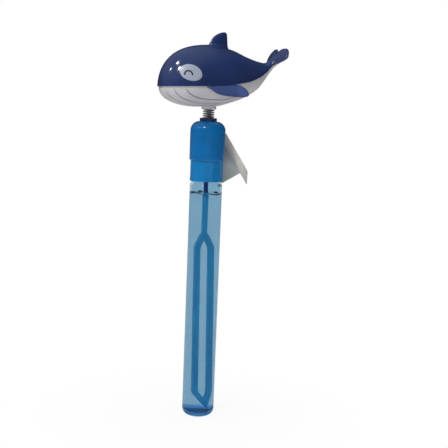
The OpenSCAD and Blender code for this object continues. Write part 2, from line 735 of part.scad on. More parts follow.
module eye_patch_left() {
    skin = [for (d = [glue_gap, glue_gap + eye_t], r = [1:eye_rings], k = [0:eye_spokes - 1])
        let (q = eye_outline(r / eye_rings, 360 * k / eye_spokes)) back_side(q[0], q[1], d)];
    hub = eye_outline(0, 0);
    n = eye_rings * eye_spokes;
    s = eye_spokes;
    function around(i, k) = i * s + (k + s) % s;
    half = concat(
        [for (k = [0:s - 1]) [2 * n, around(0, k), around(0, k + 1)]],
        [for (i = [0:eye_rings - 2], k = [0:s - 1], e = [0, 1])
            e == 0 ? [around(i, k), around(i + 1, k), around(i, k + 1)]
            : [around(i, k + 1), around(i + 1, k), around(i + 1, k + 1)]]
    );
    far = [for (f = half) [for (k = [2, 1, 0]) f[k] == 2 * n ? 2 * n + 1 : f[k] + n]];
    edge = [for (k = [0:s - 1], e = [0, 1])
        let (a = around(eye_rings - 1, k), b = around(eye_rings - 1, k + 1))
        e == 0 ? [a, a + n, b] : [b, a + n, b + n]];
    color("lightsteelblue") translate([0, 0, whale_z]) polyhedron(
        points = concat(skin, [for (d = [glue_gap, glue_gap + eye_t]) back_side(hub[0], hub[1], d)]),
        faces = concat(half, far, edge)
    );
}

module eye_patch_right() {
    mirror([0, 1, 0]) eye_patch_left();
}

tube();
cap_liner();
screw_cap();
dome_cover();
spring_cup();
wand();
hang_tag();
neck_spring();
neck_plug();
whale_back();
whale_belly();
dorsal_fin();
flipper_left();
flipper_right();
eye_patch_left();
eye_patch_right();
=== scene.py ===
"""Looks of a bubble wand: a clear tube of bubble solution, a domed screw cap with its dipping wand, and a
whale that bobs on a coil spring above the cap. Every piece is in metres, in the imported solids' frame."""

import logging
import math
from dataclasses import dataclass
from enum import Enum
from typing import Callable, Dict, List, Optional, Sequence, Tuple, Union

import bmesh
import bpy
from mathutils import Matrix, Vector


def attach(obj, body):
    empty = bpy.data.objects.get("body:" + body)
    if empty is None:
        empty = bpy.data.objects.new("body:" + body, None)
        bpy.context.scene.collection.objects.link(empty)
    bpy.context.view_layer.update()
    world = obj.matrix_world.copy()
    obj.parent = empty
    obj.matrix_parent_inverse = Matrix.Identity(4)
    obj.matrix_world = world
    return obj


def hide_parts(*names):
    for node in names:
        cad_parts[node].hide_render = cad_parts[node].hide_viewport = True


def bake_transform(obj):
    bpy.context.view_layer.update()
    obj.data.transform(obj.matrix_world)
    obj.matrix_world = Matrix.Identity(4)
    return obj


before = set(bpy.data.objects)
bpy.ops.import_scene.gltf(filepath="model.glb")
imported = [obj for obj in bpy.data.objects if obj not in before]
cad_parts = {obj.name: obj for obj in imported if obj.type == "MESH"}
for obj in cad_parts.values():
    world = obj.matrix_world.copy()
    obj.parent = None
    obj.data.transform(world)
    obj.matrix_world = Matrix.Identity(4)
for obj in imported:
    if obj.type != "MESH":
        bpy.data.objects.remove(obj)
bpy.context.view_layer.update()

log = logging.getLogger("bubble_wand")

MM = 0.001
TOUCH = 1e-6
EDGE_STEP = 3.0
WHITE = (1.0, 1.0, 1.0)

Colour = Tuple[float, float, float]
Spot = Tuple[float, float]
Number = Union[int, float]
Term = Union["Sock", Number]


class Body(Enum):
    """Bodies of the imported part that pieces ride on."""

    TUBE = "tube"
    CAP = "cap"
    SPRING = "spring"
    WHALE = "whale"


class Side(Enum):
    """Sides of the whale, as the sign of Y."""

    LEFT = -1
    RIGHT = 1

    def placed(self, point: Vector) -> Vector:
        """A point of the left side, moved to this side."""
        return Vector((point.x, -self.value * point.y, point.z))


class Rounding(Enum):
    """What a rounding works on."""

    CORNERS = "VERTICES"
    EDGES = "EDGES"


class Shell(Enum):
    """Halves of the whale's body, as the sign of their bulge."""

    BACK = 1
    BELLY = -1


def srgb(red: int, green: int, blue: int) -> Colour:
    """Turns a colour as read on a screen into the linear colour that a shader takes.

    Args:
        red: red from 0 to 255.
        green: green from 0 to 255.
        blue: blue from 0 to 255.

    Returns:
        The linear colour.
    """

    def linear(value: int) -> float:
        """Linear value of one channel."""
        share = value / 255
        return share / 12.92 if share <= 0.04045 else ((share + 0.055) / 1.055) ** 2.4

    return linear(red), linear(green), linear(blue)


def mix(a: float, b: float, t: float) -> float:
    """Value at share t of the way from a to b."""
    return a + (b - a) * t


def clamp01(t: float) -> float:
    """t kept between 0 and 1."""
    return min(max(t, 0.0), 1.0)


def smooth(t: float) -> float:
    """Soft step from 0 to 1."""
    t = clamp01(t)
    return t * t * (3 - 2 * t)


class Sock:
    """An output socket that takes part in Python expressions; each operator adds a Math node."""

    def __init__(self, tree: "Nodes", socket: Optional[bpy.types.NodeSocket]) -> None:
        """Wraps a socket of a node tree."""
        self.tree = tree
        self.socket = socket

    def _math(self, operation: str, *values: Term) -> "Sock":
        """Adds one Math node.

        Args:
            operation: the node's operation.
            values: its inputs, in order.

        Returns:
            The node's value.
        """
        return self.tree.add("ShaderNodeMath", {"operation": operation}, dict(enumerate(values)))

    def __add__(self, other: Term) -> "Sock":
        """self + other."""
        return self._math("ADD", self, other)

    __radd__ = __add__

    def __sub__(self, other: Term) -> "Sock":
        """self - other."""
        return self._math("SUBTRACT", self, other)

    def __rsub__(self, other: Term) -> "Sock":
        """other - self."""
        return self._math("SUBTRACT", other, self)

    def __mul__(self, other: Term) -> "Sock":
        """self * other."""
        return self._math("MULTIPLY", self, other)

    __rmul__ = __mul__

    def __truediv__(self, other: Term) -> "Sock":
        """self / other."""
        return self._math("DIVIDE", self, other)

    def __pow__(self, other: Term) -> "Sock":
        """self to the power of other."""
        return self._math("POWER", self, other)

    def root(self) -> "Sock":
        """Square root."""
        return self._math("SQRT", self)

    def size(self) -> "Sock":
        """Value without its sign."""
        return self._math("ABSOLUTE", self)

    def most(self, other: Term) -> "Sock":
        """The larger of two values."""
        return self._math("MAXIMUM", self, other)

    def sibling(self, output: Union[str, int]) -> "Sock":
        """Another output of the same node."""
        return Sock(self.tree, self.socket.node.outputs[output])

    def step(self, low: float, high: float, start: float = 0.0, end: float = 1.0) -> "Sock":
        """Soft step between two values.

        Args:
            low: value at which the step starts.
            high: value at which it ends.
            start: result below the step.
            end: result above it.

        Returns:
            The stepped value.
        """
        return self.tree.add(
            "ShaderNodeMapRange",
            {"interpolation_type": "SMOOTHSTEP"},
            {"Value": self, "From Min": low, "From Max": high, "To Min": start, "To Max": end},
        )


SocketValue = Union[Sock, Number, Sequence[float]]


class Nodes:
    """Builds the nodes of one material or of the world."""

    def __init__(self, tree: bpy.types.NodeTree) -> None:
        """Empties a node tree and takes it over."""
        self.tree = tree
        tree.nodes.clear()

    def add(
        self,
        kind: str,
        settings: Optional[Dict[str, object]] = None,
        inputs: Optional[Dict[Union[str, int], SocketValue]] = None,
        output: Union[str, int] = 0,
    ) -> Sock:
        """Adds any node.

        Args:
            kind: the node's type.
            settings: its settings, which are set first.
            inputs: values or links of its sockets, by name or number.
            output: the output that is wanted.

        Returns:
            That output.
        """
        node = self.tree.nodes.new(kind)
        for name, value in (settings or {}).items():
            setattr(node, name, value)
        for key, value in (inputs or {}).items():
            socket = node.inputs[key]
            if isinstance(value, Sock):
                self.tree.links.new(value.socket, socket)
            elif socket.type == "RGBA" and len(value) == 3:
                socket.default_value = (*value, 1.0)
            else:
                socket.default_value = value
        return Sock(self, node.outputs[output] if node.outputs else None)

    def blend(self, share: SocketValue, low: SocketValue, high: SocketValue) -> Sock:
        """Mixes two colours.

        Args:
            share: 0 for the first colour, 1 for the second.
            low: the first colour.
            high: the second colour.

        Returns:
            The mixed colour.
        """
        return self.add("ShaderNodeMix", {"data_type": "RGBA"}, {0: share, 6: low, 7: high}, output=2)

    def principled(self, inputs: Dict[str, SocketValue]) -> Sock:
        """Principled shader with these inputs."""
        return self.add("ShaderNodeBsdfPrincipled", None, inputs)

    def place(self) -> Sock:
        """Object coordinates, in metres."""
        return self.add("ShaderNodeTexCoord", output="Object")

    def axes(self) -> Tuple[Sock, Sock, Sock]:
        """X, Y and Z of the Object coordinates, in millimetres."""
        split = self.add("ShaderNodeSeparateXYZ", None, {0: self.place()})
        x, y, z = (split.sibling(i) / MM for i in range(3))
        return x, y, z

    def noise(self, per_metre: float, detail: float = 3.0, roughness: float = 0.5) -> Sock:
        """Cloudy noise on Object coordinates.

        Args:
            per_metre: clouds in a metre.
            detail: octaves of finer noise.
            roughness: strength of the finer noise.

        Returns:
            A value around 0.5.
        """
        return self.add(
            "ShaderNodeTexNoise",
            None,
            {"Vector": self.place(), "Scale": per_metre, "Detail": detail, "Roughness": roughness},
        )

    def bump(self, height: Sock, depth_mm: float, strength: float = 1.0) -> Sock:
        """Bump from a height.

        Args:
            height: the height, from 0 to 1.
            depth_mm: depth of the relief in millimetres.
            strength: share of the relief that shows.

        Returns:
            The bumped normal.
        """
        inputs = {"Strength": strength, "Distance": depth_mm * MM, "Height": height}
        return self.add("ShaderNodeBump", None, inputs)


class Finish:
    """A finish with one material, made on first use."""

    def __init__(self, name: str, slot: str, colour: Colour) -> None:
        """Keeps the finish's name and colour.

        Args:
            name: the material's name.
            slot: the record's material slot.
            colour: its linear colour.
        """
        self.name = name
        self.slot = slot
        self.colour = colour
        self._material: Optional[bpy.types.Material] = None

    def material(self) -> bpy.types.Material:
        """The finish's material."""
        if self._material is None:
            self._material = bpy.data.materials.new(self.name)
            self._material.use_nodes = True
            nodes = Nodes(self._material.node_tree)
            shader = self.shade(nodes)
            nodes.add("ShaderNodeOutputMaterial", None, {"Surface": shader})
        return self._material

    def toned(self, factor: float, lift: float = 0.0) -> Colour:
        """The finish's colour, scaled and lifted."""
        red, green, blue = (min(c * factor + lift, 1.0) for c in self.colour)
        return red, green, blue

    def shade(self, nodes: Nodes) -> Sock:
        """Builds the finish's shader and returns it."""
        raise NotImplementedError


class MouldedPlastic(Finish):
    """Moulded plastic: a faint cloudiness in its colour, soft sheen and a fine skin."""

    clouds_per_metre = 38.0
    cloud_tones = (0.9, 1.07)
    flow_per_metre = 420.0
    flow_share = 0.12
    flow_tone = (1.15, 0.004)
    wear_per_metre = 160.0
    wear_roughness = 0.06
    skin_per_metre = 2600.0
    skin_mm = 0.02
    skin_strength = 0.35
    index = 1.48
    coat_roughness = 0.12

    def __init__(
        self,
        name: str,
        slot: str,
        colour: Colour,
        roughness: float = 0.32,
        coat: float = 0.15,
        specular: float = 0.5,
    ) -> None:
        """Keeps the finish's colour and sheen.

        Args:
            name: the material's name.
            slot: the record's material slot.
            colour: its linear colour.
            roughness: how dull it is.
            coat: weight of its gloss coat.
            specular: level of its plain reflection, where 0.5 is all of it.
        """
        super().__init__(name, slot, colour)
        self.roughness = roughness
        self.coat = coat
        self.specular = specular

    def tint(self, nodes: Nodes) -> Sock:
        """Colour over the surface, with slow clouds and fine flow marks."""
        clouds = nodes.noise(self.clouds_per_metre, detail=2.0).step(0.3, 0.7)
        flow = nodes.noise(self.flow_per_metre, detail=2.0).step(0.35, 0.75)
        base = nodes.blend(clouds, *(self.toned(tone) for tone in self.cloud_tones))
        return nodes.blend(flow * self.flow_share, base, self.toned(*self.flow_tone))

    def shade(self, nodes: Nodes) -> Sock:
        """Builds the plastic's shader and returns it."""
        wear = nodes.noise(self.wear_per_metre, detail=4.0).step(0.3, 0.75)
        skin = nodes.noise(self.skin_per_metre, detail=2.0)
        return nodes.principled({
            "Base Color": self.tint(nodes),
            "Roughness": self.roughness + wear * self.wear_roughness,
            "IOR": self.index,
            "Specular IOR Level": self.specular,
            "Coat Weight": self.coat,
            "Coat Roughness": self.coat_roughness,
            "Normal": nodes.bump(skin, self.skin_mm, self.skin_strength),
        })


class EyePrint(MouldedPlastic):
    """Pale patch of the eye with its printed closed lid, an upright arc with round ends, in millimetres."""

    centre_x = -29.6
    centre_z = 318.7
    radius_x = 3.2
    radius_z = 3.3
    half_line = 0.66
    soft_edge = 0.16
    ink = srgb(18, 18, 22)

    def tint(self, nodes: Nodes) -> Sock:
        """Patch colour with the lid's arc over it."""
        x, _, z = nodes.axes()
        across = x - self.centre_x
        up = (z - self.centre_z).most(0.0) * (self.radius_x / self.radius_z)
        below = (self.centre_z - z).most(0.0)
        ring = ((across**2.0 + up**2.0).root() - self.radius_x).size()
        off = (ring**2.0 + below**2.0).root()
        line = off.step(self.half_line - self.soft_edge, self.half_line + self.soft_edge, 1.0, 0.0)
        return nodes.blend(line, super().tint(nodes), self.ink)


class PaintWithPaintedPleatShade(MouldedPlastic):
    """Pale paint of the belly, with painted shade down in its pleats."""

    pleat_shade_share = 0.85
    pleat_shade_tone = 0.22

    def tint(self, nodes: Nodes) -> Sock:
        """Paint colour, with painted shade where the belly's own pleat attribute marks the grooves."""
        # Painted shade: the paint is darker where the pleat depth is, down in the grooves.
        pleat = nodes.add("ShaderNodeAttribute", {"attribute_name": "pleat"}, output="Fac")
        return nodes.blend(pleat * self.pleat_shade_share, super().tint(nodes), self.toned(self.pleat_shade_tone))


class WandPlasticWithPaintedShade(MouldedPlastic):
    """Bright plastic of the wand, with painted shade towards its root in the cap. Heights in millimetres."""

    # root: painted shade, a dark blue for the stem above the solution, standing for the cap's shade on it.
    root = srgb(8, 76, 160)
    painted_shade_z = 210.0
    painted_shade_run = 4.0

    def tint(self, nodes: Nodes) -> Sock:
        """Loop colour below, painted shade colour above."""
        _, _, z = nodes.axes()
        share = z.step(self.painted_shade_z - self.painted_shade_run, self.painted_shade_z + self.painted_shade_run)
        return nodes.blend(share, super().tint(nodes), self.root)


class ClearPlastic(Finish):
    """Clear tinted plastic, deeper in colour and blurred in the thick foot, in millimetres."""

    foot = (0.06, 0.28, 0.64)
    foot_z = 7.8
    foot_fade = 0.65
    foot_blur = 0.35
    blur_fade = (0.5, 0.75)
    smear_per_metre = 90.0
    smear_roughness = 0.05
    roughness = 0.015
    index = 1.2

    def shade(self, nodes: Nodes) -> Sock:
        """Builds the clear plastic's shader and returns it."""
        _, _, z = nodes.axes()
        rise = z.step(self.foot_z * self.foot_fade, self.foot_z)
        smear = nodes.noise(self.smear_per_metre).step(0.45, 0.8)
        low, high = (self.foot_z * share for share in self.blur_fade)
        blur = z.step(low, high, self.foot_blur, 0.0)
        return nodes.principled({
            "Base Color": nodes.blend(rise, self.foot, self.colour),
            "Roughness": smear * self.smear_roughness + self.roughness + blur,
            "IOR": self.index,
            "Transmission Weight": 1.0,
        })


class Solution(Finish):
    """Bubble solution: a clear liquid with a blue tint."""

    streaks_per_metre = 24.0
    streak_tone = 0.94
    index = 1.33

    def shade(self, nodes: Nodes) -> Sock:
        """Builds the liquid's shader and returns it."""
        streaks = nodes.noise(self.streaks_per_metre, detail=2.0).step(0.35, 0.7)
        return nodes.principled({
            "Base Color": nodes.blend(streaks, self.toned(self.streak_tone), self.colour),
            "Roughness": 0.0,
            "IOR": self.index,
            "Transmission Weight": 1.0,
        })


class CoatedCard(Finish):
    """White coated card with a faint fibre."""

    fibre_per_metre = 1500.0
    fibre_share = 0.16
    fibre_tone = 0.8
    fibre_mm = 0.03
    clouds_per_metre = 70.0
    cloud_tone = 0.95
    roughness = 0.5

    def shade(self, nodes: Nodes) -> Sock:
        """Builds the card's shader and returns it."""
        fibre = nodes.noise(self.fibre_per_metre, detail=4.0, roughness=0.65)
        clouds = nodes.noise(self.clouds_per_metre, detail=2.0).step(0.3, 0.7)
        pale = nodes.blend(clouds, self.toned(self.cloud_tone), self.colour)
        return nodes.principled({
            "Base Color": nodes.blend(fibre * self.fibre_share, pale, self.toned(self.fibre_tone)),
            "Roughness": self.roughness + fibre * 0.15,
            "Normal": nodes.bump(fibre, self.fibre_mm, 0.5),
        })


class Foam(Finish):
    """Foamed sealing liner with open pores, and painted shade in the pores."""

    pores_per_metre = 2200.0
    pore_mm = 0.08
    pore_shade_tone = 0.8
    roughness = 0.75

    def shade(self, nodes: Nodes) -> Sock:
        """Builds the foam's shader and returns it."""
        inputs = {"Vector": nodes.place(), "Scale": self.pores_per_metre}
        pores = nodes.add("ShaderNodeTexVoronoi", {"feature": "F1"}, inputs, output="Distance")
        pit = pores.step(0.1, 0.45)
        return nodes.principled({
            # Painted shade: the colour is darker in the pits.
            "Base Color": nodes.blend(pit, self.toned(self.pore_shade_tone), self.colour),
            "Roughness": self.roughness - pit * 0.1,
            "Normal": nodes.bump(pit, self.pore_mm, 0.6),
        })


class DrawnWire(Finish):
    """Bright drawn spring wire with fine draw lines."""

    lines_per_metre = 1800.0
    line_mm = 0.01
    stain_per_metre = 130.0
    stain_tone = 0.72
    roughness = 0.2

    def shade(self, nodes: Nodes) -> Sock:
        """Builds the wire's shader and returns it."""
        lines = nodes.noise(self.lines_per_metre)
        stain = nodes.noise(self.stain_per_metre).step(0.35, 0.75)
        return nodes.principled({
            "Base Color": nodes.blend(stain, self.toned(self.stain_tone), self.colour),
            "Metallic": 1.0,
            "Roughness": self.roughness + lines * 0.12,
            "Normal": nodes.bump(lines, self.line_mm, 0.4),
        })


class Finishes:
    """Every finish of the object."""

    def __init__(self) -> None:
        """Makes the finishes with the object's colours."""
        self.navy = MouldedPlastic("navy_paint", "whale_navy", srgb(34, 51, 98), roughness=0.1, coat=0.3)
        # A lighter copy of the navy paint for the flippers: painted light, standing for the sheen they catch.
        self.flipper_navy_painted_light = MouldedPlastic("navy_painted_light", "whale_navy", srgb(44, 66, 118), roughness=0.1, coat=0.35)
        self.belly = PaintWithPaintedPleatShade("belly_paint", "belly_white", srgb(203, 202, 207), roughness=0.4, coat=0.1)
        self.plug = MouldedPlastic("plug_grey", "plug_grey", srgb(205, 206, 210), roughness=0.42, coat=0.05)
        self.eye = EyePrint("eye_patch", "eye_pale", srgb(163, 171, 190), roughness=0.34, coat=0.2)
        self.dome = MouldedPlastic(
            "dome_blue", "dome_blue", srgb(4, 109, 177), roughness=0.14, coat=0.3, specular=0.3
        )
        self.cap = MouldedPlastic(
            "cap_blue", "cap_blue", srgb(4, 125, 191), roughness=0.36, coat=0.1, specular=0.25
        )
        # The cup's navy is painted shade: the dome's blue darkened for the shade under the whale.
        self.cup = MouldedPlastic("cup_navy", "cup_navy", srgb(22, 48, 98), roughness=0.35, coat=0.2)
        self.wand = WandPlasticWithPaintedShade("wand_blue", "wand_blue", srgb(0, 198, 255), roughness=0.45, coat=0.0)
        self.tube = ClearPlastic("clear_tube", "clear_blue", (0.44, 0.605, 0.715))
        self.solution = Solution("bubble_solution", "clear_blue", (0.93, 0.97, 0.985))
        self.card = CoatedCard("coated_card", "tag_card", srgb(226, 224, 217))
        # A greyer copy of the card with painted shade, for the back leaf that stands in shade.
        self.card_in_painted_shade = CoatedCard("card_painted_shade", "tag_card", srgb(204, 210, 204))
        self.foam = Foam("foam_liner", "foam_white", srgb(236, 236, 230))
        self.wire = DrawnWire("drawn_wire", "spring_steel", srgb(176, 177, 181))


class Maker:
    """Turns meshes into finished pieces of the part."""

    @staticmethod
    def grid(bm: bmesh.types.BMesh, across: int, along: int, point: Callable[[float, float], Vector]) -> None:
        """Adds a grid, moves each vertex to its place on a surface, and closes the seam and the ends.

        Args:
            bm: the mesh to add to.
            across: faces across.
            along: faces along.
            point: place in millimetres for shares across and along.
        """
        for vert in bmesh.ops.create_grid(bm, x_segments=across, y_segments=along, size=1.0)["verts"]:
            vert.co = point((vert.co.x + 1) / 2, (vert.co.y + 1) / 2) * MM
        Maker.merge(bm)
        bmesh.ops.holes_fill(bm, edges=[e for e in bm.edges if e.is_boundary], sides=0)
        bmesh.ops.recalc_face_normals(bm, faces=bm.faces)

    @staticmethod
    def merge(bm: bmesh.types.BMesh, distance_mm: float = 0.002) -> None:
        """Joins vertices that lie on each other, such as seams and poles."""
        bmesh.ops.remove_doubles(bm, verts=bm.verts, dist=distance_mm * MM)
        bmesh.ops.dissolve_degenerate(bm, dist=distance_mm * MM / 4, edges=bm.edges)

    @staticmethod
    def wound(bm: bmesh.types.BMesh, geom: List, turns: float, steps: int, climb: float = 0.0) -> None:
        """Winds geometry about the tube's axis.

        Args:
            bm: the mesh to add to.
            geom: vertices, edges and faces that are wound.
            turns: turns about the axis.
            steps: steps in all.
            climb: rise over all the turns, in millimetres; without it the ends meet.
        """
        bmesh.ops.spin(
            bm,
            geom=geom,
            cent=(0, 0, 0),
            axis=(0, 0, 1),
            dvec=(0, 0, climb / steps * MM),
            angle=2 * math.pi * turns,
            steps=steps,
            use_merge=climb == 0.0,
        )
        if climb == 0.0:
            Maker.merge(bm)
        bmesh.ops.recalc_face_normals(bm, faces=bm.faces)

    @staticmethod
    def turned(bm: bmesh.types.BMesh, profile: Sequence[Spot], steps: int) -> None:
        """Turns a profile about the tube's axis.

        Args:
            bm: the mesh to add to.
            profile: radius and height of its points, in millimetres.
            steps: faces round.
        """
        verts = [bm.verts.new((r * MM, 0.0, z * MM)) for r, z in profile]
        edges = [bm.edges.new(pair) for pair in zip(verts, verts[1:])]
        Maker.wound(bm, verts + edges, 1.0, steps)

    @staticmethod
    def arc(centre: Spot, radius: float, start: float, end: float, steps: int) -> List[Spot]:
        """Points of an arc in a profile.

        Args:
            centre: radius and height of its centre.
            radius: its radius.
            start: its first angle in degrees.
            end: its last angle in degrees.
            steps: number of chords.

        Returns:
            The points, with both ends.
        """
        angles = [math.radians(mix(start, end, i / steps)) for i in range(steps + 1)]
        return [(centre[0] + radius * math.cos(a), centre[1] + radius * math.sin(a)) for a in angles]

    @staticmethod
    def rounded(
        bm: bmesh.types.BMesh, geom: List, radius: float, kind: Rounding, segments: int, clamp: bool = True
    ) -> None:
        """Rounds corners or edges.

        Args:
            bm: the mesh.
            geom: the corners or edges.
            radius: how far back the rounding starts, in millimetres.
            kind: whether corners or edges are rounded.
            segments: faces across the rounding.
            clamp: whether roundings stop where they would meet.
        """
        bmesh.ops.bevel(
            bm,
            geom=geom,
            offset=radius * MM,
            offset_type="OFFSET",
            affect=kind.value,
            segments=segments,
            profile=0.5,
            material=-1,
            clamp_overlap=clamp,
        )

    @staticmethod
    def finished(
        name: str,
        bm: bmesh.types.BMesh,
        finish: Finish,
        body: Optional[Body],
        replaced: Sequence[str] = (),
        crease_deg: float = 40.0,
    ) -> bpy.types.Object:
        """body: the body it rides on, or None for a piece that is put on no body.
            replaced: the solids that it stands for.
            crease_deg: angle past which an edge stays sharp.

        Returns:
            The object.
        """
        mesh = bpy.data.meshes.new(name)
        for face in bm.faces:
            face.smooth = True
        bm.to_mesh(mesh)
        bm.free()
        mesh.set_sharp_from_angle(angle=math.radians(crease_deg))
        mesh.materials.append(finish.material())
        piece = bpy.data.objects.new(name, mesh)
        bpy.context.scene.collection.objects.link(piece)
        if body is not None:
            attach(piece, body.value)
        if replaced:
            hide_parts(*replaced)
        log.info("%s: %d faces", name, len(mesh.polygons))
        return piece

    @staticmethod
    def carried(node: str, finish: Finish) -> None:
        """Dresses a solid that shows as it is.

        Args:
            node: the solid's name.
            finish: its finish.
        """
        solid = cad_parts[node]
        solid.data.materials.clear()
        solid.data.materials.append(finish.material())
        log.info("%s: carried over", node)


@dataclass(frozen=True)
class Tube:
    """Clear tube with its neck, thread and bubble solution. Sizes in millimetres."""

    radius: float = 15.0
    wall: float = 1.3
    height: float = 222.0
    floor: float = 4.0
    foot_radius: float = 7.0
    shoulder: float = 2.0
    neck_radius: float = 13.0
    neck_wall: float = 1.5
    neck_height: float = 16.0
    lip: float = 0.5
    lip_ease: float = 0.4
    faces_round: int = 128
    wall_shares: Tuple[float, ...] = (0.25, 0.5, 0.75)
    thread_rise: float = 0.3
    thread_width: float = 1.3
    thread_crest_share: float = 0.45
    thread_pitch: float = 4.0
    thread_turns: float = 1.6
    thread_faces: int = 48
    thread_start_share: float = 0.28
    level: float = 211.2
    level_shares: Tuple[float, ...] = (0.3, 0.6, 0.9)
    soak: float = 0.1
    creep: float = 1.5
    creep_reach: float = 2.6
    creep_power: float = 2.4
    stem_radius: float = 2.1
    stem_creep: float = 2.6
    stem_reach: float = 2.0
    ripple: float = 0.6
    waves: Tuple[Tuple[float, ...], ...] = ((1.0, 2.0, 0.7, 0.0), (0.7, 5.0, 0.0, 0.3))
    bubbles: Tuple[Tuple[float, ...], ...] = ((-7.4, -5.4, 3.3), (-10.2, 2.4, 2.5), (9.8, -1.6, 2.4))
    surface_rings: int = 56
    surface_faces: int = 192

    def build(self, finishes: Finishes) -> None:
        """Builds the tube, its thread and the solution in it."""
        self._build_wall(finishes)
        self._build_thread(finishes)
        self._build_solution(finishes)

    def _build_wall(self, finishes: Finishes) -> None:
        """Turns the tube's wall, foot, shoulder and neck."""
        top = self.height + self.neck_height
        mouth = self.neck_radius - self.neck_wall
        bore = self.radius - self.wall
        flat = self.radius - self.foot_radius
        inner_foot = self.foot_radius - self.wall
        base = self.height - self.shoulder
        roof = self.height - self.wall
        lip = self.lip
        profile = [(0.0, 0.0)]
        profile += Maker.arc((flat, self.foot_radius), self.foot_radius, -90, 0, 14)
        profile += [(self.radius, mix(self.foot_radius, base, share)) for share in self.wall_shares]
        profile += Maker.arc((self.radius - lip, base - lip), lip, 0, 45, 3)
        profile += [(self.neck_radius + lip, self.height - lip * self.lip_ease)]
        profile += [(self.neck_radius, self.height + lip)]
        profile += Maker.arc((self.neck_radius - lip, top - lip), lip, 0, 90, 4)
        profile += Maker.arc((mouth + lip, top - lip), lip, 90, 180, 4)
        profile += [(mouth, roof + lip), (mouth + lip, roof - lip)]
        profile += [(bore - lip, base - self.wall + lip), (bore, base - self.wall - lip)]
        profile += [(bore, mix(base, self.foot_radius, share)) for share in self.wall_shares]
        profile += Maker.arc((flat, self.floor + inner_foot), inner_foot, 0, -90, 12)
        profile += [(0.0, self.floor)]
        bm = bmesh.new()
        Maker.turned(bm, profile, self.faces_round)
        Maker.finished("clear_tube", bm, finishes.tube, Body.TUBE, ["tube"], crease_deg=60)

    def _build_thread(self, finishes: Finishes) -> None:
        """Winds the neck's low screw thread."""
        start = self.height + self.neck_height * self.thread_start_share
        half = self.thread_width / 2
        crest = half * self.thread_crest_share
        section = [(0.0, -half), (self.thread_rise, -crest), (self.thread_rise, crest), (0.0, half)]
        bm = bmesh.new()
        face = bm.faces.new(
            [bm.verts.new(((self.neck_radius + r) * MM, 0.0, (start + z) * MM)) for r, z in section]
        )
        geom = list(face.verts) + list(face.edges) + [face]
        steps = int(self.thread_faces * self.thread_turns)
        Maker.wound(bm, geom, self.thread_turns, steps, self.thread_pitch * self.thread_turns)
        Maker.finished("neck_thread", bm, finishes.tube, Body.TUBE)

    def _surface(self, spot: Vector, wet: float) -> float:
        """Rise of the solution's surface.

        Args:
            spot: place on the surface, in millimetres from the tube's axis.
            wet: radius that the solution fills.

        Returns:
            The rise above its level, in millimetres.
        """
        r, turn = spot.length, math.atan2(spot.y, spot.x)
        wall = self.creep * max(1 - (wet - r) / self.creep_reach, 0.0) ** self.creep_power
        stem = self.stem_creep * math.exp(-max(r - self.stem_radius, 0.0) / self.stem_reach)
        rise = wall + stem
        for strength, count, phase, twist in self.waves:
            rise += self.ripple * strength * math.sin(count * turn + phase + twist * r) * r / self.radius
        for x, y, size in self.bubbles:
            rise += math.sqrt(max(size * size - (spot - Vector((x, y))).length_squared, 0.0))
        return rise

    def _build_solution(self, finishes: Finishes) -> None:
        """Turns the solution, whose rippled surface carries bubbles and creeps up the wall and the stem."""
        wet = self.radius - self.wall + self.soak
        flat = self.radius - self.foot_radius
        low = self.floor - self.soak
        foot = self.foot_radius - self.wall + self.soak
        count = self.surface_rings
        profile = [(0.0, low)]
        profile += Maker.arc((flat, low + foot), foot, -90, 0, 12)
        profile += [(wet, mix(low + foot, self.level, share)) for share in self.level_shares]
        profile += [(wet * (1 - ring / count), self.level) for ring in range(count + 1)]
        bm = bmesh.new()
        Maker.turned(bm, profile, self.surface_faces)
        for vert in bm.verts:
            if vert.co.z > self.level * MM - TOUCH:
                vert.co.z += self._surface(vert.co.xy / MM, wet) * MM
        Maker.finished("bubble_solution", bm, finishes.solution, Body.TUBE, crease_deg=70)


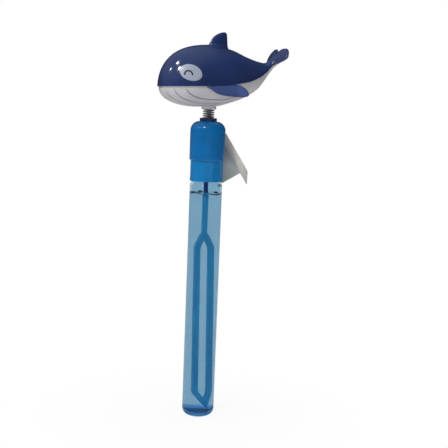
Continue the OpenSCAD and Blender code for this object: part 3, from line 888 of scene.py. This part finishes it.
@dataclass(frozen=True)
class DippingWand:
    """Stem and long loop that hang from the cap. Sizes in millimetres."""

    stem_radius: float = 2.1
    stem_top: float = 239.4
    stem_faces: int = 40
    tip_z: float = 6.0
    loop_height: float = 169.0
    loop_width: float = 14.6
    rod: float = 4.2
    thickness: float = 3.2
    fork: float = 13.0
    fork_overlap: float = 0.35
    point: float = 16.0
    edge_radius: float = 1.25
    sharp_deg: float = 60.0
    lean: float = 2.2
    point_x: float = 4.0
    bend_run: float = 3.2
    bend_faces: int = 6
    edge_faces: int = 5

    def build(self, finishes: Finishes) -> None:
        """Builds the loop from its outline and adds the stem."""
        bm = bmesh.new()
        half = self.loop_width / 2
        fork_z = self.tip_z + self.loop_height
        low_z, high_z = self.tip_z + self.point, fork_z - self.fork
        right = [(self.lean + half, low_z), (half, high_z), (self.stem_radius, fork_z)]
        left = [(-self.stem_radius, fork_z), (-half, high_z), (self.lean - half, low_z)]
        outline = [(self.lean + self.point_x, self.tip_z)] + right + left
        verts = [bm.verts.new((x * MM, -self.thickness / 2 * MM, z * MM)) for x, z in outline]
        bm.faces.new(verts)
        bm.normal_update()
        Maker.rounded(bm, verts[1:], self.bend_run, Rounding.CORNERS, self.bend_faces)
        face = max(bm.faces, key=lambda f: f.calc_area())
        bmesh.ops.inset_region(
            bm, faces=[face], thickness=self.rod * MM, depth=0.0, use_even_offset=True, use_boundary=True
        )
        bmesh.ops.delete(bm, geom=[face], context="FACES")
        lifted = bmesh.ops.extrude_face_region(bm, geom=list(bm.faces), use_keep_orig=True)["geom"]
        moved = [part for part in lifted if isinstance(part, bmesh.types.BMVert)]
        bmesh.ops.translate(bm, verts=moved, vec=(0.0, self.thickness * MM, 0.0))
        bmesh.ops.recalc_face_normals(bm, faces=bm.faces)
        least = math.radians(self.sharp_deg)
        sharp = [e for e in bm.edges if len(e.link_faces) == 2 and e.calc_face_angle(0.0) > least]
        Maker.rounded(bm, sharp, self.edge_radius, Rounding.EDGES, self.edge_faces)
        length = self.stem_top - fork_z + self.fork * self.fork_overlap
        bmesh.ops.create_cone(
            bm,
            cap_ends=True,
            segments=self.stem_faces,
            radius1=self.stem_radius * MM,
            radius2=self.stem_radius * MM,
            depth=length * MM,
            matrix=Matrix.Translation((0.0, 0.0, (self.stem_top - length / 2) * MM)),
        )
        Maker.finished("dipping_wand", bm, finishes.wand, Body.CAP, ["wand"], crease_deg=35)


@dataclass(frozen=True)
class Cap:
    """Screw cap, liner, domed cover and spring cup, which show as their solids."""

    def build(self, finishes: Finishes) -> None:
        """Dresses the cap's solids."""
        Maker.carried("cap_liner", finishes.foam)
        Maker.carried("screw_cap", finishes.cap)
        Maker.carried("dome_cover", finishes.dome)
        # The spring cup's navy finish is painted shade under the whale.
        Maker.carried("spring_cup", finishes.cup)


@dataclass(frozen=True)
class HangTag:
    """Folded card behind the cap: a back leaf, a front leaf and a bent end. Sizes in millimetres."""

    fold: float = 28.5
    lean_deg: float = 32.0
    width: float = 20.0
    rise: float = 13.2
    opening: float = 6.0
    end: float = 13.5
    bend: float = 6.0
    card: float = 0.45
    top_z: float = 254.6
    dome_radius: float = 16.22
    seat: float = 0.4
    turn_deg: float = 68.0
    corner: float = 1.2
    corner_faces: int = 4

    def build(self, finishes: Finishes) -> None:
        """Joins the leaves at their folds, rounds their corners and gives them thickness."""
        lean = math.radians(self.lean_deg)
        along = Vector((math.sin(lean), 0.0, -math.cos(lean)))
        across = Vector((-math.cos(lean), 0.0, -math.sin(lean))) * self.width
        top = Vector((self.dome_radius + self.seat, self.dome_radius + self.seat, self.top_z))
        foot = top + along * self.fold
        opened = Vector((0.0, -self.opening, self.rise))
        bent = along * self.end + Vector((0.0, self.bend, 0.0))
        spin = Matrix.Rotation(math.radians(self.turn_deg - 90), 4, "Z")
        corners = [top, foot, foot + across, top + across]
        corners += [top + opened, foot + opened, foot + opened + bent, foot + bent]
        bm = bmesh.new()
        v = [bm.verts.new((spin @ corner) * MM) for corner in corners]
        for ring in ((0, 1, 2, 3), (1, 0, 4, 5), (1, 5, 6, 7)):
            bm.faces.new([v[i] for i in ring])
        bm.faces.ensure_lookup_table()
        # The back leaf takes the card copy with painted shade.
        bm.faces[0].material_index = 1
        free = [v[i] for i in (2, 3, 4, 6, 7)]
        Maker.rounded(bm, free, self.corner, Rounding.CORNERS, self.corner_faces, clamp=False)
        piece = Maker.finished("hang_tag_card", bm, finishes.card, Body.CAP, ["hang_tag"], crease_deg=20)
        piece.data.materials.append(finishes.card_in_painted_shade.material())
        thick = piece.modifiers.new("card", "SOLIDIFY")
        thick.thickness = self.card * MM
        thick.offset = 0.0
        thick.use_even_offset = True


@dataclass(frozen=True)
class NeckSpring:
    """Coil spring from the cap's cup to the whale's plug, in two halves. Sizes in millimetres."""

    radius: float = 4.9
    wire: float = 1.2
    wire_faces: int = 14
    pitch: float = 2.0
    low_z: float = 275.5
    high_z: float = 294.5
    cup_z: float = 281.0
    plug_z: float = 289.0
    steps: int = 28

    def build(self, finishes: Finishes) -> None:
        """Winds the lower and the upper half."""
        turns = (self.high_z - self.low_z - self.wire) / self.pitch
        low = self._half("neck_spring_low", finishes, 0.0, turns / 2)
        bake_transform(low)
        high = self._half("neck_spring_high", finishes, turns / 2, turns)
        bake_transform(high)

    def _half(self, name: str, finishes: Finishes, start: float, end: float) -> bpy.types.Object:
        """Winds one half of the spring.

        Args:
            name: the piece's name.
            finishes: the object's finishes.
            start: turn at which it starts.
            end: turn at which it ends.

        Returns:
            The piece.
        """
        bm = bmesh.new()
        lean = math.atan2(self.pitch, 2 * math.pi * self.radius)
        start_z = self.low_z + self.wire / 2 + self.pitch * start
        place = (
            Matrix.Rotation(2 * math.pi * start, 4, "Z")
            @ Matrix.Translation((self.radius * MM, 0.0, start_z * MM))
            @ Matrix.Rotation(lean, 4, "X")
            @ Matrix.Rotation(math.pi / 2, 4, "X")
        )
        bmesh.ops.create_circle(
            bm, cap_ends=True, segments=self.wire_faces, radius=self.wire / 2 * MM, matrix=place
        )
        geom = list(bm.verts) + list(bm.edges) + list(bm.faces)
        turns = end - start
        Maker.wound(bm, geom, turns, int(round(turns * self.steps)), self.pitch * turns)
        return Maker.finished(name, bm, finishes.wire, None, ["neck_spring"], crease_deg=60)


@dataclass(frozen=True)
class WhaleForm:
    """Curves of the whale's body, in millimetres."""

    head: float = 43.0
    tail: float = 66.0
    crown_x: float = -6.0
    half_width: float = 27.0
    back_rise: float = 37.3
    belly_drop: float = 18.5
    wall: float = 1.6
    fluke_wall: float = 1.9
    lip: float = 1.2
    lip_fade: float = 0.8
    mouth_rise: float = 40.2
    fluke: float = 5.5
    lobe: float = 6.4
    arch: float = 3.8
    belly_z: float = 291.3
    blunt: float = 2.3
    groove: float = 0.75
    groove_half_deg: float = 1.4
    groove_least_deg: float = 1.6
    fluke_full: float = 0.45
    lobe_peak: float = 0.5
    lobe_fall: float = 0.6
    mouth_shares: Tuple[float, ...] = (0, 0.017, 0.036, 0.073, 0.129, 0.225, 0.452, 0.98)
    back_shares: Tuple[float, ...] = (1, 0.936, 0.823, 0.622, 0.383, 0.16)
    belly_shares: Tuple[float, ...] = (1, 1.03, 0.93, 0.81, 0.65, 0.34)
    width_shares: Tuple[float, ...] = (1, 0.97, 0.86, 0.65, 0.39, 0.235)
    fluke_back_shares: Tuple[float, ...] = (0.16, 0.15, 0.15, 0.145, 0.125, 0.05)
    fluke_belly_shares: Tuple[float, ...] = (0.34, 0.29, 0.25, 0.2, 0.14, 0.06)
    fluke_width_shares: Tuple[float, ...] = (0.235, 0.34, 0.56, 0.72, 0.76)
    groove_shares: Tuple[float, ...] = (0.815, 0.61, 0.35, 0.0)
    groove_close: float = 0.3
    groove_end: float = 0.62
    groove_fade: float = 0.2
    groove_run_deg: float = 2.0
    groove_gather: float = 0.8
    least_width: float = 0.5

    @property
    def nose_x(self) -> float:
        """X of the nose."""
        return self.crown_x - self.head

    @property
    def tail_x(self) -> float:
        """X of the end of the tail stock."""
        return self.crown_x + self.tail

    @property
    def base_z(self) -> float:
        """Height of the mouth line at the nose."""
        return self.belly_z + self.belly_drop - self._mouth(self.crown_x)

    @staticmethod
    def curve(values: Sequence[float], t: float, level: bool) -> float:
        """Smooth curve through evenly spaced values.

        Args:
            values: the values.
            t: share of the way along them.
            level: whether the curve is level at its ends.

        Returns:
            The value there.
        """
        last = len(values) - 1
        u = clamp01(t) * last
        i = min(int(u), last - 1)
        f = u - i
        b, c = values[i], values[i + 1]
        a = values[i - 1] if i > 0 else (values[1] if level else 2 * b - c)
        d = values[i + 2] if i + 2 <= last else (values[last - 1] if level else 2 * c - b)
        return WhaleForm.through(a, b, c, d, f)

    @staticmethod
    def through(a: float, b: float, c: float, d: float, f: float) -> float:
        """Value at share f of the smooth run from b to c, with a before and d after them."""
        bend = a - 2.5 * b + 2 * c - d / 2
        return b + f * (c - a) / 2 + f * f * bend + f**3 * (3 * (b - c) + d - a) / 2

    def swell(self, s: float) -> float:
        """Swell of the head from the nose, where s is 1, to the crown, where s is 0."""
        return max(1 - max(s, 0.0) ** self.blunt, 0.0) ** (1 / self.blunt)

    def _mouth(self, x: float) -> float:
        """Rise of the mouth line at x above the nose."""
        end = self.tail_x + self.fluke + self.lobe
        share = (x - self.nose_x) / (end - self.nose_x)
        return self.mouth_rise * self.curve(self.mouth_shares, share, False)

    def mouth(self, x: float) -> float:
        """Height of the mouth line at x."""
        return self.base_z + self._mouth(x)

    def lobe_edge(self, u: float) -> float:
        """Share of the lobes' reach at share u of their width."""
        if u < self.lobe_peak:
            return 1 - (1 - u / self.lobe_peak) ** 2
        outer = (u - self.lobe_peak) / (1 - self.lobe_peak)
        return 1 - self.lobe_fall * (1 - math.sqrt(max(1 - outer * outer, 0.0)))

    def lip_at(self, t: float) -> float:
        """Step of the rim under the back shell at step t."""
        return self.lip * (1 - self.lip_fade * max(t - 2, 0.0))

    def point(self, t: float, deg: float, shell: Shell, plan_in: float, rise_in: float) -> Vector:
        """Point of a shell.

        Args:
            t: 0 to 1 from the nose to the crown, to 2 at the tail stock and to 3 at the flukes' edge.
            deg: angle round the section from the left rim to the right one.
            shell: the back or the belly.
            plan_in: how far the section is drawn in, in plan.
            rise_in: how far it is drawn in, in height.

        Returns:
            The point in millimetres.
        """
        back = shell is Shell.BACK
        u = -math.cos(math.radians(deg))
        high = self.back_rise if back else self.belly_drop
        if t <= 1:
            s = math.cos(math.radians(90 * t))
            x = self.crown_x - s * (self.head - plan_in)
            w = (self.half_width - plan_in) * self.swell(s)
            h = (high - rise_in) * self.swell(s)
        elif t <= 2:
            q = t - 1
            x = self.crown_x + q * self.tail
            w = self.half_width * self.curve(self.width_shares, q, True) - plan_in
            shares = self.back_shares if back else self.belly_shares
            h = max(high * self.curve(shares, q, True) - rise_in, 0.0)
        else:
            v = t - 2
            x = mix(self.tail_x, self.tail_x + self.fluke + self.lobe * self.lobe_edge(abs(u)), v)
            w = self.half_width * self.curve(self.fluke_width_shares, v, True) - plan_in
            shares = self.fluke_back_shares if back else self.fluke_belly_shares
            h = max(high * self.curve(shares, v, True) - rise_in, 0.0)
        round_out = max(math.sin(math.radians(deg)), 0.0) ** mix(1.0, self.fluke_full, clamp01(t - 2))
        bow = self.arch * clamp01(t - 2) * u * u
        return Vector((x, w * u, self.mouth(x) - bow + shell.value * h * round_out))

    def _size_at(self, x: float, most: float, shares: Sequence[float], head: float) -> float:
        """One size of the body at x.

        Args:
            x: place along the body.
            most: the size at the crown.
            shares: its shares behind the crown.
            head: length of the head.

        Returns:
            The size.
        """
        if x < self.crown_x:
            return most * self.swell((self.crown_x - x) / head)
        return most * self.curve(shares, (x - self.crown_x) / self.tail, True)

    def wide(self, x: float, drawn_in: float = 0.0) -> float:
        """Half width of the body at x."""
        if x < self.crown_x:
            return self._size_at(x, self.half_width - drawn_in, self.width_shares, self.head - drawn_in)
        return self._size_at(x, self.half_width, self.width_shares, self.head) - drawn_in

    def rise(self, x: float) -> float:
        """Height of the back above the mouth line at x."""
        return self._size_at(x, self.back_rise, self.back_shares, self.head)

    def drop(self, x: float) -> float:
        """Depth of the belly under the mouth line at x."""
        return self._size_at(x, self.belly_drop, self.belly_shares, self.head - self.lip)

    def back_top(self, x: float, y: float) -> float:
        """Height of the back at x and y."""
        return self.mouth(x) + self.rise(x) * math.sqrt(max(1 - (y / self.wide(x)) ** 2, 0.0))

    def back_side(self, x: float, z: float, off: float) -> Vector:
        """Left side of the back at x and height z, stood off by some millimetres."""
        share = clamp01(1 - ((z - self.mouth(x)) / self.rise(x)) ** 2)
        return Vector((x, -self.wide(x) * math.sqrt(share) - off, z))

    def belly_side(self, x: float, deg: float, off: float) -> Vector:
        """Left side of the belly at x, some degrees down from its rim, stood off by some millimetres."""
        a = math.radians(deg)
        w = self.wide(x, self.lip) + off
        h = self.drop(x) + off
        return Vector((x, -w * math.cos(a), self.mouth(x) - h * math.sin(a)))

    def groove_spots(self, t: float) -> List[Spot]:
        """Places of the pleat grooves at step t.

        Args:
            t: step along the body.

        Returns:
            Angle from the rim and depth share of each groove, from the rim to the middle.
        """
        rim = self.point(t, 0.0, Shell.BELLY, self.lip_at(t), 0.0)
        width = max(-rim.y, self.least_width)
        end = clamp01((1 + self.groove_end - t) / self.groove_fade)
        spots = []
        for k, share in enumerate(self.groove_shares):
            start_x = self.crown_x - (self.head - self.lip) * (1 - share**self.blunt) ** (1 / self.blunt)
            close = 1 - self.groove_close * clamp01((rim.x - start_x) / self.tail)
            deg = math.degrees(math.acos(clamp01(self.half_width * share * close / width)))
            least = (k + 1) * self.groove_least_deg
            spots.append((max(deg, least), end * clamp01((deg - least) / self.groove_run_deg)))
        return spots

    def belly_angle(self, t: float, across: float) -> float:
        """Angle of a belly column, which follows the grooves.

        Args:
            t: step along the body.
            across: share of the way from the left rim to the right one.

        Returns:
            The angle in degrees.
        """
        knots = [0.0] + [deg for deg, _ in self.groove_spots(t)]
        half = min(across, 1 - across) * 2 * (len(knots) - 1)
        k = min(int(half), len(knots) - 2)
        share = half - k
        deg = mix(knots[k], knots[k + 1], mix(share, smooth(share), self.groove_gather))
        return deg if across <= 0.5 else 180 - deg

    def pleat(self, t: float, deg: float) -> float:
        """Depth share of the pleat grooves at step t and an angle round the belly."""
        near = min(deg, 180 - deg)
        spots = self.groove_spots(t)
        return max(fade * math.exp(-(((near - spot) / self.groove_half_deg) ** 2)) for spot, fade in spots)


@dataclass(frozen=True)
class Whale:
    """The whale above the spring: two shells, fins, eye patches and the plug. Sizes in millimetres."""

    form: WhaleForm = WhaleForm()
    rings: int = 120
    body_rings: float = 0.8
    back_columns: int = 96
    belly_columns: int = 200
    fin_back: float = 4.4
    fin_length: float = 18.0
    fin_height: float = 13.4
    fin_thickness: float = 6.0
    fin_top: float = 0.5
    fin_curve: float = 1.8
    fin_corner: float = 2.2
    fin_crest: float = 0.21
    fin_rake: float = 0.07
    fin_edge: int = 7
    fin_fullness: float = 0.8
    fin_flare: float = 1.1
    fin_flare_rise: float = 0.2
    fin_flare_ends: float = 0.6
    fin_sunk: float = 0.05
    fin_faces: Tuple[int, int] = (64, 40)
    flipper_root: float = 30.0
    flipper_root_deg: float = 17.0
    flipper_rim_deg: float = 2.0
    flipper_start: float = 0.12
    flipper_ahead: float = 12.6
    flipper_reach: float = 6.0
    flipper_spread: float = 10.5
    flipper_drop: float = 8.0
    flipper_edge: float = 1.2
    flipper_free: float = 0.78
    flipper_off: float = 0.15
    flipper_proud: float = 1.0
    flipper_sunk: float = 0.6
    flipper_low_sunk: float = 0.2
    flipper_crown: float = 0.1
    flipper_tilt: float = 47.0
    flipper_widths: Tuple[float, ...] = (0.1, 0.6, 0.86, 0.97, 1.0, 0.95)
    flipper_drops: Tuple[float, ...] = (0.1, 0.72, 0.95, 1.0, 0.98, 0.62)
    flipper_columns: int = 56
    flipper_rings: int = 72
    soften: float = 0.055
    soften_start: float = 0.5
    soften_run: float = 0.2
    soften_end: float = 0.15
    soften_weights: Tuple[int, ...] = (1, 4, 6, 4, 1)
    eye_length: float = 19.0
    eye_height: float = 16.4
    eye_back: float = 22.0
    eye_up: float = 11.2
    eye_skew: float = 0.07
    eye_low: float = 0.82
    eye_raise: float = 0.5
    eye_sunk: float = 0.15
    eye_edge: int = 14
    eye_faces: Tuple[int, int] = (96, 24)

    def build(self, finishes: Finishes) -> None:
        """Builds the whale's pieces."""
        self._build_shell(finishes, Shell.BACK)
        self._build_shell(finishes, Shell.BELLY)
        self._build_fin(finishes)
        for side in Side:
            self._build_flipper(finishes, side)
            self._build_patch(finishes, side)
        Maker.carried("neck_plug", finishes.plug)

    def _step(self, share: float) -> float:
        """Step along the body for a share of its rings, closer together towards the flukes' edge."""
        if share < self.body_rings:
            return 2 * share / self.body_rings
        return 2 + math.sin(math.pi / 2 * (share - self.body_rings) / (1 - self.body_rings))

    def _build_shell(self, finishes: Finishes, shell: Shell) -> None:
        """Builds one closed shell, whose skin runs over its outside, its rim and back over its inside."""
        form = self.form
        belly = shell is Shell.BELLY
        columns = self.belly_columns if belly else self.back_columns

        def skin(across: float, t: float, inside: bool) -> Vector:
            """Point of the outside or of the inside, which meet at the flukes' edge."""
            deg = form.belly_angle(t, across) if belly else 180 * across
            if inside and t <= EDGE_STEP - TOUCH:
                inset = mix(form.wall, form.fluke_wall, clamp01(t - 2))
            else:
                inset = form.groove * form.pleat(t, deg) if belly else 0.0
            return form.point(t, deg, shell, (form.lip_at(t) if belly else 0.0) + inset, inset)

        bm = bmesh.new()
        layer = bm.verts.layers.float.new("pleat") if belly else None
        around = 2 * columns + 2
        for vert in bmesh.ops.create_grid(bm, x_segments=around, y_segments=self.rings, size=1.0)["verts"]:
            column = round((vert.co.x + 1) / 2 * around) % around
            t = self._step((vert.co.y + 1) / 2)
            inside = column > columns
            across = (around - 1 - column if inside else column) / columns
            # The pleat depth also drives the belly paint's painted shade in the grooves.
            if layer is not None and not inside:
                vert[layer] = form.pleat(t, form.belly_angle(t, across))
            vert.co = skin(across, t, inside) * MM
        Maker.merge(bm)
        bmesh.ops.recalc_face_normals(bm, faces=bm.faces)
        name, node = ("whale_belly_shell", "whale_belly") if belly else ("whale_back_shell", "whale_back")
        finish = finishes.belly if belly else finishes.navy
        Maker.finished(name, bm, finish, Body.WHALE, [node], crease_deg=50)

    def _build_fin(self, finishes: Finishes) -> None:
        """Builds the dorsal fin, round along its edge and flared at its foot."""
        form = self.form
        start = form.crown_x + self.fin_back
        end = start + self.fin_length
        crest = end - self.fin_length * self.fin_crest
        foot_z = form.back_top((start + end) / 2, 0.0)

        def surface(across: float, along: float) -> Vector:
            """Point of the fin."""
            v = math.sin(math.pi / 2 * along)
            front = mix(start, crest, 1 - max(1 - v**self.fin_curve, 0.0) ** (1 / self.fin_curve))
            turn = clamp01((v - 1) * self.fin_height / self.fin_corner + 1)
            corner = self.fin_corner * (1 - math.sqrt(1 - turn * turn))
            rear = end - self.fin_length * self.fin_rake * v - corner
            edge = max(1 - v**self.fin_edge, 0.0) ** 0.5
            half = self.fin_thickness / 2 * mix(1.0, self.fin_top, v) * edge
            flare = self.fin_flare * (1 - smooth(v / self.fin_flare_rise))
            ends = flare * self.fin_flare_ends
            a = 2 * math.pi * across
            shape = math.copysign(abs(math.sin(a)) ** self.fin_fullness, math.sin(a))
            x = mix(front - ends, rear + ends, (1 - math.cos(a)) / 2)
            y = (half + flare) * shape
            return Vector((x, y, mix(form.back_top(x, y) - self.fin_sunk, foot_z + self.fin_height, v)))

        bm = bmesh.new()
        Maker.grid(bm, *self.fin_faces, surface)
        Maker.finished("dorsal_fin_skin", bm, finishes.navy, Body.WHALE, ["dorsal_fin"], crease_deg=60)

    def _flipper_edge_at(self, p: float) -> Vector:
        """Point of the left flipper's outer edge at share p of its length."""
        form = self.form
        front_x = -self.flipper_ahead
        flank = form.belly_side(0.0, 0.0, self.flipper_off)
        x = front_x + (self.flipper_root + self.flipper_reach) * p
        y = flank.y - self.flipper_spread * form.curve(self.flipper_widths, p, True)
        z = form.mouth(front_x) - self.flipper_drop * form.curve(self.flipper_drops, p, True)
        return Vector((x, y, z))

    def _flipper_ring(self, p: float) -> List[Vector]:
        """Corner points of the left flipper's section at share p of its length.

        Args:
            p: share of the length from the root's front to the tip.

        Returns:
            The points: over the top, round the edge, back below and up the root.
        """
        form = self.form
        q = min(p / self.flipper_free, 1.0)
        x = self.flipper_root * q - self.flipper_ahead
        grown = math.sin(math.pi / 2 * min(2 * q, 1.0))
        arc = self.flipper_root_deg * mix(self.flipper_start, 1.0, grown)
        tilt = math.radians(self.flipper_tilt)
        way = Vector((0.0, -math.cos(tilt), math.sin(tilt)))
        edge = self._flipper_edge_at(min(p, self.flipper_free))
        thick = way * self.flipper_edge / 2
        top = form.belly_side(x, 0.0, self.flipper_proud)
        middle = form.belly_side(x, self.flipper_rim_deg + arc / 2, -self.flipper_sunk)
        low = form.belly_side(x, self.flipper_rim_deg + arc, -self.flipper_low_sunk)
        upper = top.lerp(edge + thick, 0.5) + way * self.flipper_spread * self.flipper_crown
        ring = [upper, edge + thick, edge - thick, low.lerp(edge - thick, 0.5), low, middle, top]
        turn = math.pi / 2 * clamp01((p - self.flipper_free) / (1 - self.flipper_free))
        centre = sum(ring, Vector()) / len(ring)
        ahead = (self._flipper_edge_at(1.0) - centre) * math.sin(turn)
        return [centre + ahead + (point - centre) * math.cos(turn) for point in ring]

    def _soft_ring(self, p: float) -> List[Vector]:
        """Corner points at share p, averaged with their neighbours where the leaf turns into its tip.

        Args:
            p: share of the length from the root's front to the tip.

        Returns:
            The points.
        """
        starts = smooth((p - self.soften_start) / self.soften_run)
        reach = self.soften * starts * smooth((1 - p) / self.soften_end)
        weights = self.soften_weights
        first = -(len(weights) // 2)
        rings = [self._flipper_ring(p + (first + k) * reach) for k in range(len(weights))]
        near = [(ring, weight / sum(weights)) for ring, weight in zip(rings, weights)]
        return [sum((ring[i] * weight for ring, weight in near), Vector()) for i in range(len(rings[0]))]

    def _build_flipper(self, finishes: Finishes, side: Side) -> None:
        """Builds a flipper, a smooth leaf with a round edge that grows out of the flank."""
        rings = [self._soft_ring(i / self.flipper_rings) for i in range(self.flipper_rings + 1)]

        def surface(across: float, along: float) -> Vector:
            """Point of the flipper."""
            ring = rings[round(along * self.flipper_rings)]
            count = len(ring)
            spot = across * count
            i = int(spot) % count
            near = [ring[(i + k - 1) % count] for k in range(4)]
            share = spot - int(spot)
            return side.placed(Vector([WhaleForm.through(*(n[k] for n in near), share) for k in range(3)]))

        bm = bmesh.new()
        Maker.grid(bm, self.flipper_columns, self.flipper_rings, surface)
        name = side.name.lower()
        nodes = [f"flipper_{name}"]
        # The flippers take the navy copy with painted light.
        Maker.finished(f"flipper_{name}_skin", bm, finishes.flipper_navy_painted_light, Body.WHALE, nodes, crease_deg=75)

    def _build_patch(self, finishes: Finishes, side: Side) -> None:
        """Builds an eye patch, a thin egg-shaped inlay that follows the head."""
        form = self.form
        middle_x = form.nose_x + self.eye_back
        middle_z = form.mouth(middle_x) + self.eye_up

        def surface(across: float, along: float) -> Vector:
            """Point of the patch."""
            a = 2 * math.pi * across
            s = math.sin(a)
            x = middle_x + along * (self.eye_length / 2 * math.cos(a) - self.eye_skew * self.eye_height * s)
            z = middle_z + along * self.eye_height / 2 * s * (self.eye_low if s < 0 else 1.0)
            raised = mix(-self.eye_sunk, self.eye_raise, max(1 - along**self.eye_edge, 0.0) ** 0.5)
            return side.placed(form.back_side(x, z, raised))

        bm = bmesh.new()
        Maker.grid(bm, *self.eye_faces, surface)
        name = side.name.lower()
        nodes = [f"eye_patch_{name}"]
        Maker.finished(f"eye_{name}_inlay", bm, finishes.eye, Body.WHALE, nodes, crease_deg=60)


@dataclass(frozen=True)
class Lamp:
    """A round lamp. Places and sizes in metres, power in watts; gloss and glass may show its shape."""

    name: str
    place: Tuple[float, float, float]
    size: float
    power: float
    seen: bool = True

    def hang(self, target: Vector) -> None:
        """Hangs the lamp so that it looks at a target."""
        data = bpy.data.lights.new(self.name, "AREA")
        data.shape = "DISK"
        data.size = self.size
        data.energy = self.power
        lamp = bpy.data.objects.new(self.name, data)
        bpy.context.scene.collection.objects.link(lamp)
        lamp.visible_glossy = self.seen
        lamp.visible_transmission = self.seen
        look = (target - Vector(self.place)).to_track_quat("-Z", "Y")
        lamp.matrix_world = Matrix.Translation(self.place) @ look.to_matrix().to_4x4()


@dataclass(frozen=True)
class Studio:
    """Camera, soft lamps, white surround and pale floor."""

    frame_px: float = 448.0
    focal_px: float = 928.8
    distance: float = 0.86
    height: float = 0.289
    azimuth_deg: float = -22.0
    pitch_deg: float = 7.0
    roll_deg: float = 2.27
    yaw_deg: float = -1.21
    sensor_mm: float = 36.0
    clip_start: float = 0.05
    lamps: Tuple[Lamp, ...] = (
        Lamp("key_high", (-0.77, -0.11, 1.40), 0.14, 3.0),
        Lamp("key_front", (-0.79, -0.60, 1.21), 0.15, 5.0),
        Lamp("key_side", (-1.09, 0.12, 1.08), 0.1, 2.0),
        Lamp("fill", (-0.3, -1.25, 0.35), 0.8, 2.4, False),
        Lamp("ceiling", (0.0, 0.0, 1.7), 1.1, 8.0, False),
    )
    lamp_target_z: float = 0.25
    soft_light: float = 0.27
    sheen_lean: float = 0.6
    sheen_run: Tuple[float, float] = (0.35, 1.0)
    sheen: Tuple[float, float] = (0.05, 0.42)
    floor_half: float = 6.0
    floor_faces: int = 8
    floor_grey: float = 0.8
    floor_run_mm: Tuple[float, float] = (20.0, 190.0)
    floor_white: float = 0.93

    def build(self) -> None:
        """Sets up the studio."""
        bpy.context.scene.view_settings.view_transform = "Standard"
        self._build_camera()
        self._build_surround()
        for lamp in self.lamps:
            lamp.hang(Vector((0.0, 0.0, self.lamp_target_z)))
        self._build_floor()

    def _build_camera(self) -> None:
        """Stands the camera where the photograph was taken from."""
        a = math.radians(self.azimuth_deg)
        turn = math.radians(self.azimuth_deg + self.yaw_deg)
        pitch, roll = math.radians(self.pitch_deg), math.radians(self.roll_deg)
        level = Vector((-math.sin(turn), math.cos(turn), 0.0))
        right = Vector((math.cos(turn), math.sin(turn), 0.0))
        up = Vector((0.0, 0.0, 1.0))
        ahead = level * math.cos(pitch) - up * math.sin(pitch)
        over = level * math.sin(pitch) + up * math.cos(pitch)
        side = right * math.cos(roll) + over * math.sin(roll)
        crown = over * math.cos(roll) - right * math.sin(roll)
        data = bpy.data.cameras.new("camera")
        data.sensor_width = self.sensor_mm
        data.lens = self.focal_px / self.frame_px * self.sensor_mm
        data.clip_start = self.clip_start
        camera = bpy.data.objects.new("camera", data)
        bpy.context.scene.collection.objects.link(camera)
        stand = Vector((self.distance * math.sin(a), -self.distance * math.cos(a), self.height))
        turned = Matrix((side, crown, -ahead)).transposed().to_4x4()
        camera.matrix_world = Matrix.Translation(stand) @ turned
        bpy.context.scene.camera = camera

    @staticmethod
    def _seen(nodes: Nodes) -> Sock:
        """1 where the camera looks, straight or through glass."""
        path = nodes.add("ShaderNodeLightPath", output="Is Camera Ray")
        return path.most(path.sibling("Is Transmission Ray"))

    def _build_surround(self) -> None:
        """White surround for the camera and glass, a sheen for gloss, and a softer one for plain light."""
        world = bpy.data.worlds.new("surround")
        world.use_nodes = True
        nodes = Nodes(world.node_tree)

        def glow(strength: SocketValue) -> Sock:
            """White light of some strength."""
            return nodes.add("ShaderNodeBackground", None, {"Color": WHITE, "Strength": strength})

        glossy = nodes.add("ShaderNodeLightPath", output="Is Glossy Ray")
        way = nodes.add("ShaderNodeTexCoord", output="Generated")
        split = nodes.add("ShaderNodeSeparateXYZ", None, {0: way})
        raised = split.sibling(2) - split * self.sheen_lean
        dim = glow(raised.step(*self.sheen_run, *self.sheen))
        plain = nodes.add("ShaderNodeMixShader", None, {0: glossy, 1: glow(self.soft_light), 2: dim})
        shader = nodes.add("ShaderNodeMixShader", None, {0: self._seen(nodes), 1: plain, 2: glow(1.0)})
        nodes.add("ShaderNodeOutputWorld", None, {"Surface": shader})
        bpy.context.scene.world = world

    def _build_floor(self) -> None:
        """Lays the pale floor, which keeps the object's soft shadow and ends in white."""
        bm = bmesh.new()
        faces = self.floor_faces
        bmesh.ops.create_grid(bm, x_segments=faces, y_segments=faces, size=self.floor_half)
        mesh = bpy.data.meshes.new("floor")
        bm.to_mesh(mesh)
        bm.free()
        floor = bpy.data.objects.new("floor", mesh)
        bpy.context.scene.collection.objects.link(floor)
        material = bpy.data.materials.new("pale_floor")
        material.use_nodes = True
        nodes = Nodes(material.node_tree)
        x, y, _ = nodes.axes()
        away = (x**2.0 + y**2.0).root()
        share = self._seen(nodes) * away.step(*self.floor_run_mm, self.floor_white, 1.0)
        matt = nodes.add("ShaderNodeBsdfDiffuse", None, {"Color": (self.floor_grey,) * 3})
        white = nodes.add("ShaderNodeEmission", None, {"Color": WHITE, "Strength": 1.0})
        shader = nodes.add("ShaderNodeMixShader", None, {0: share, 1: matt, 2: white})
        nodes.add("ShaderNodeOutputMaterial", None, {"Surface": shader})
        mesh.materials.append(material)


def main() -> None:
    logging.basicConfig(level=logging.INFO, format="%(name)s: %(message)s")
    finishes = Finishes()
    Tube().build(finishes)
    DippingWand().build(finishes)
    Cap().build(finishes)
    HangTag().build(finishes)
    NeckSpring().build(finishes)
    Whale().build(finishes)
    Studio().build()


if __name__ == "__main__":
    main()
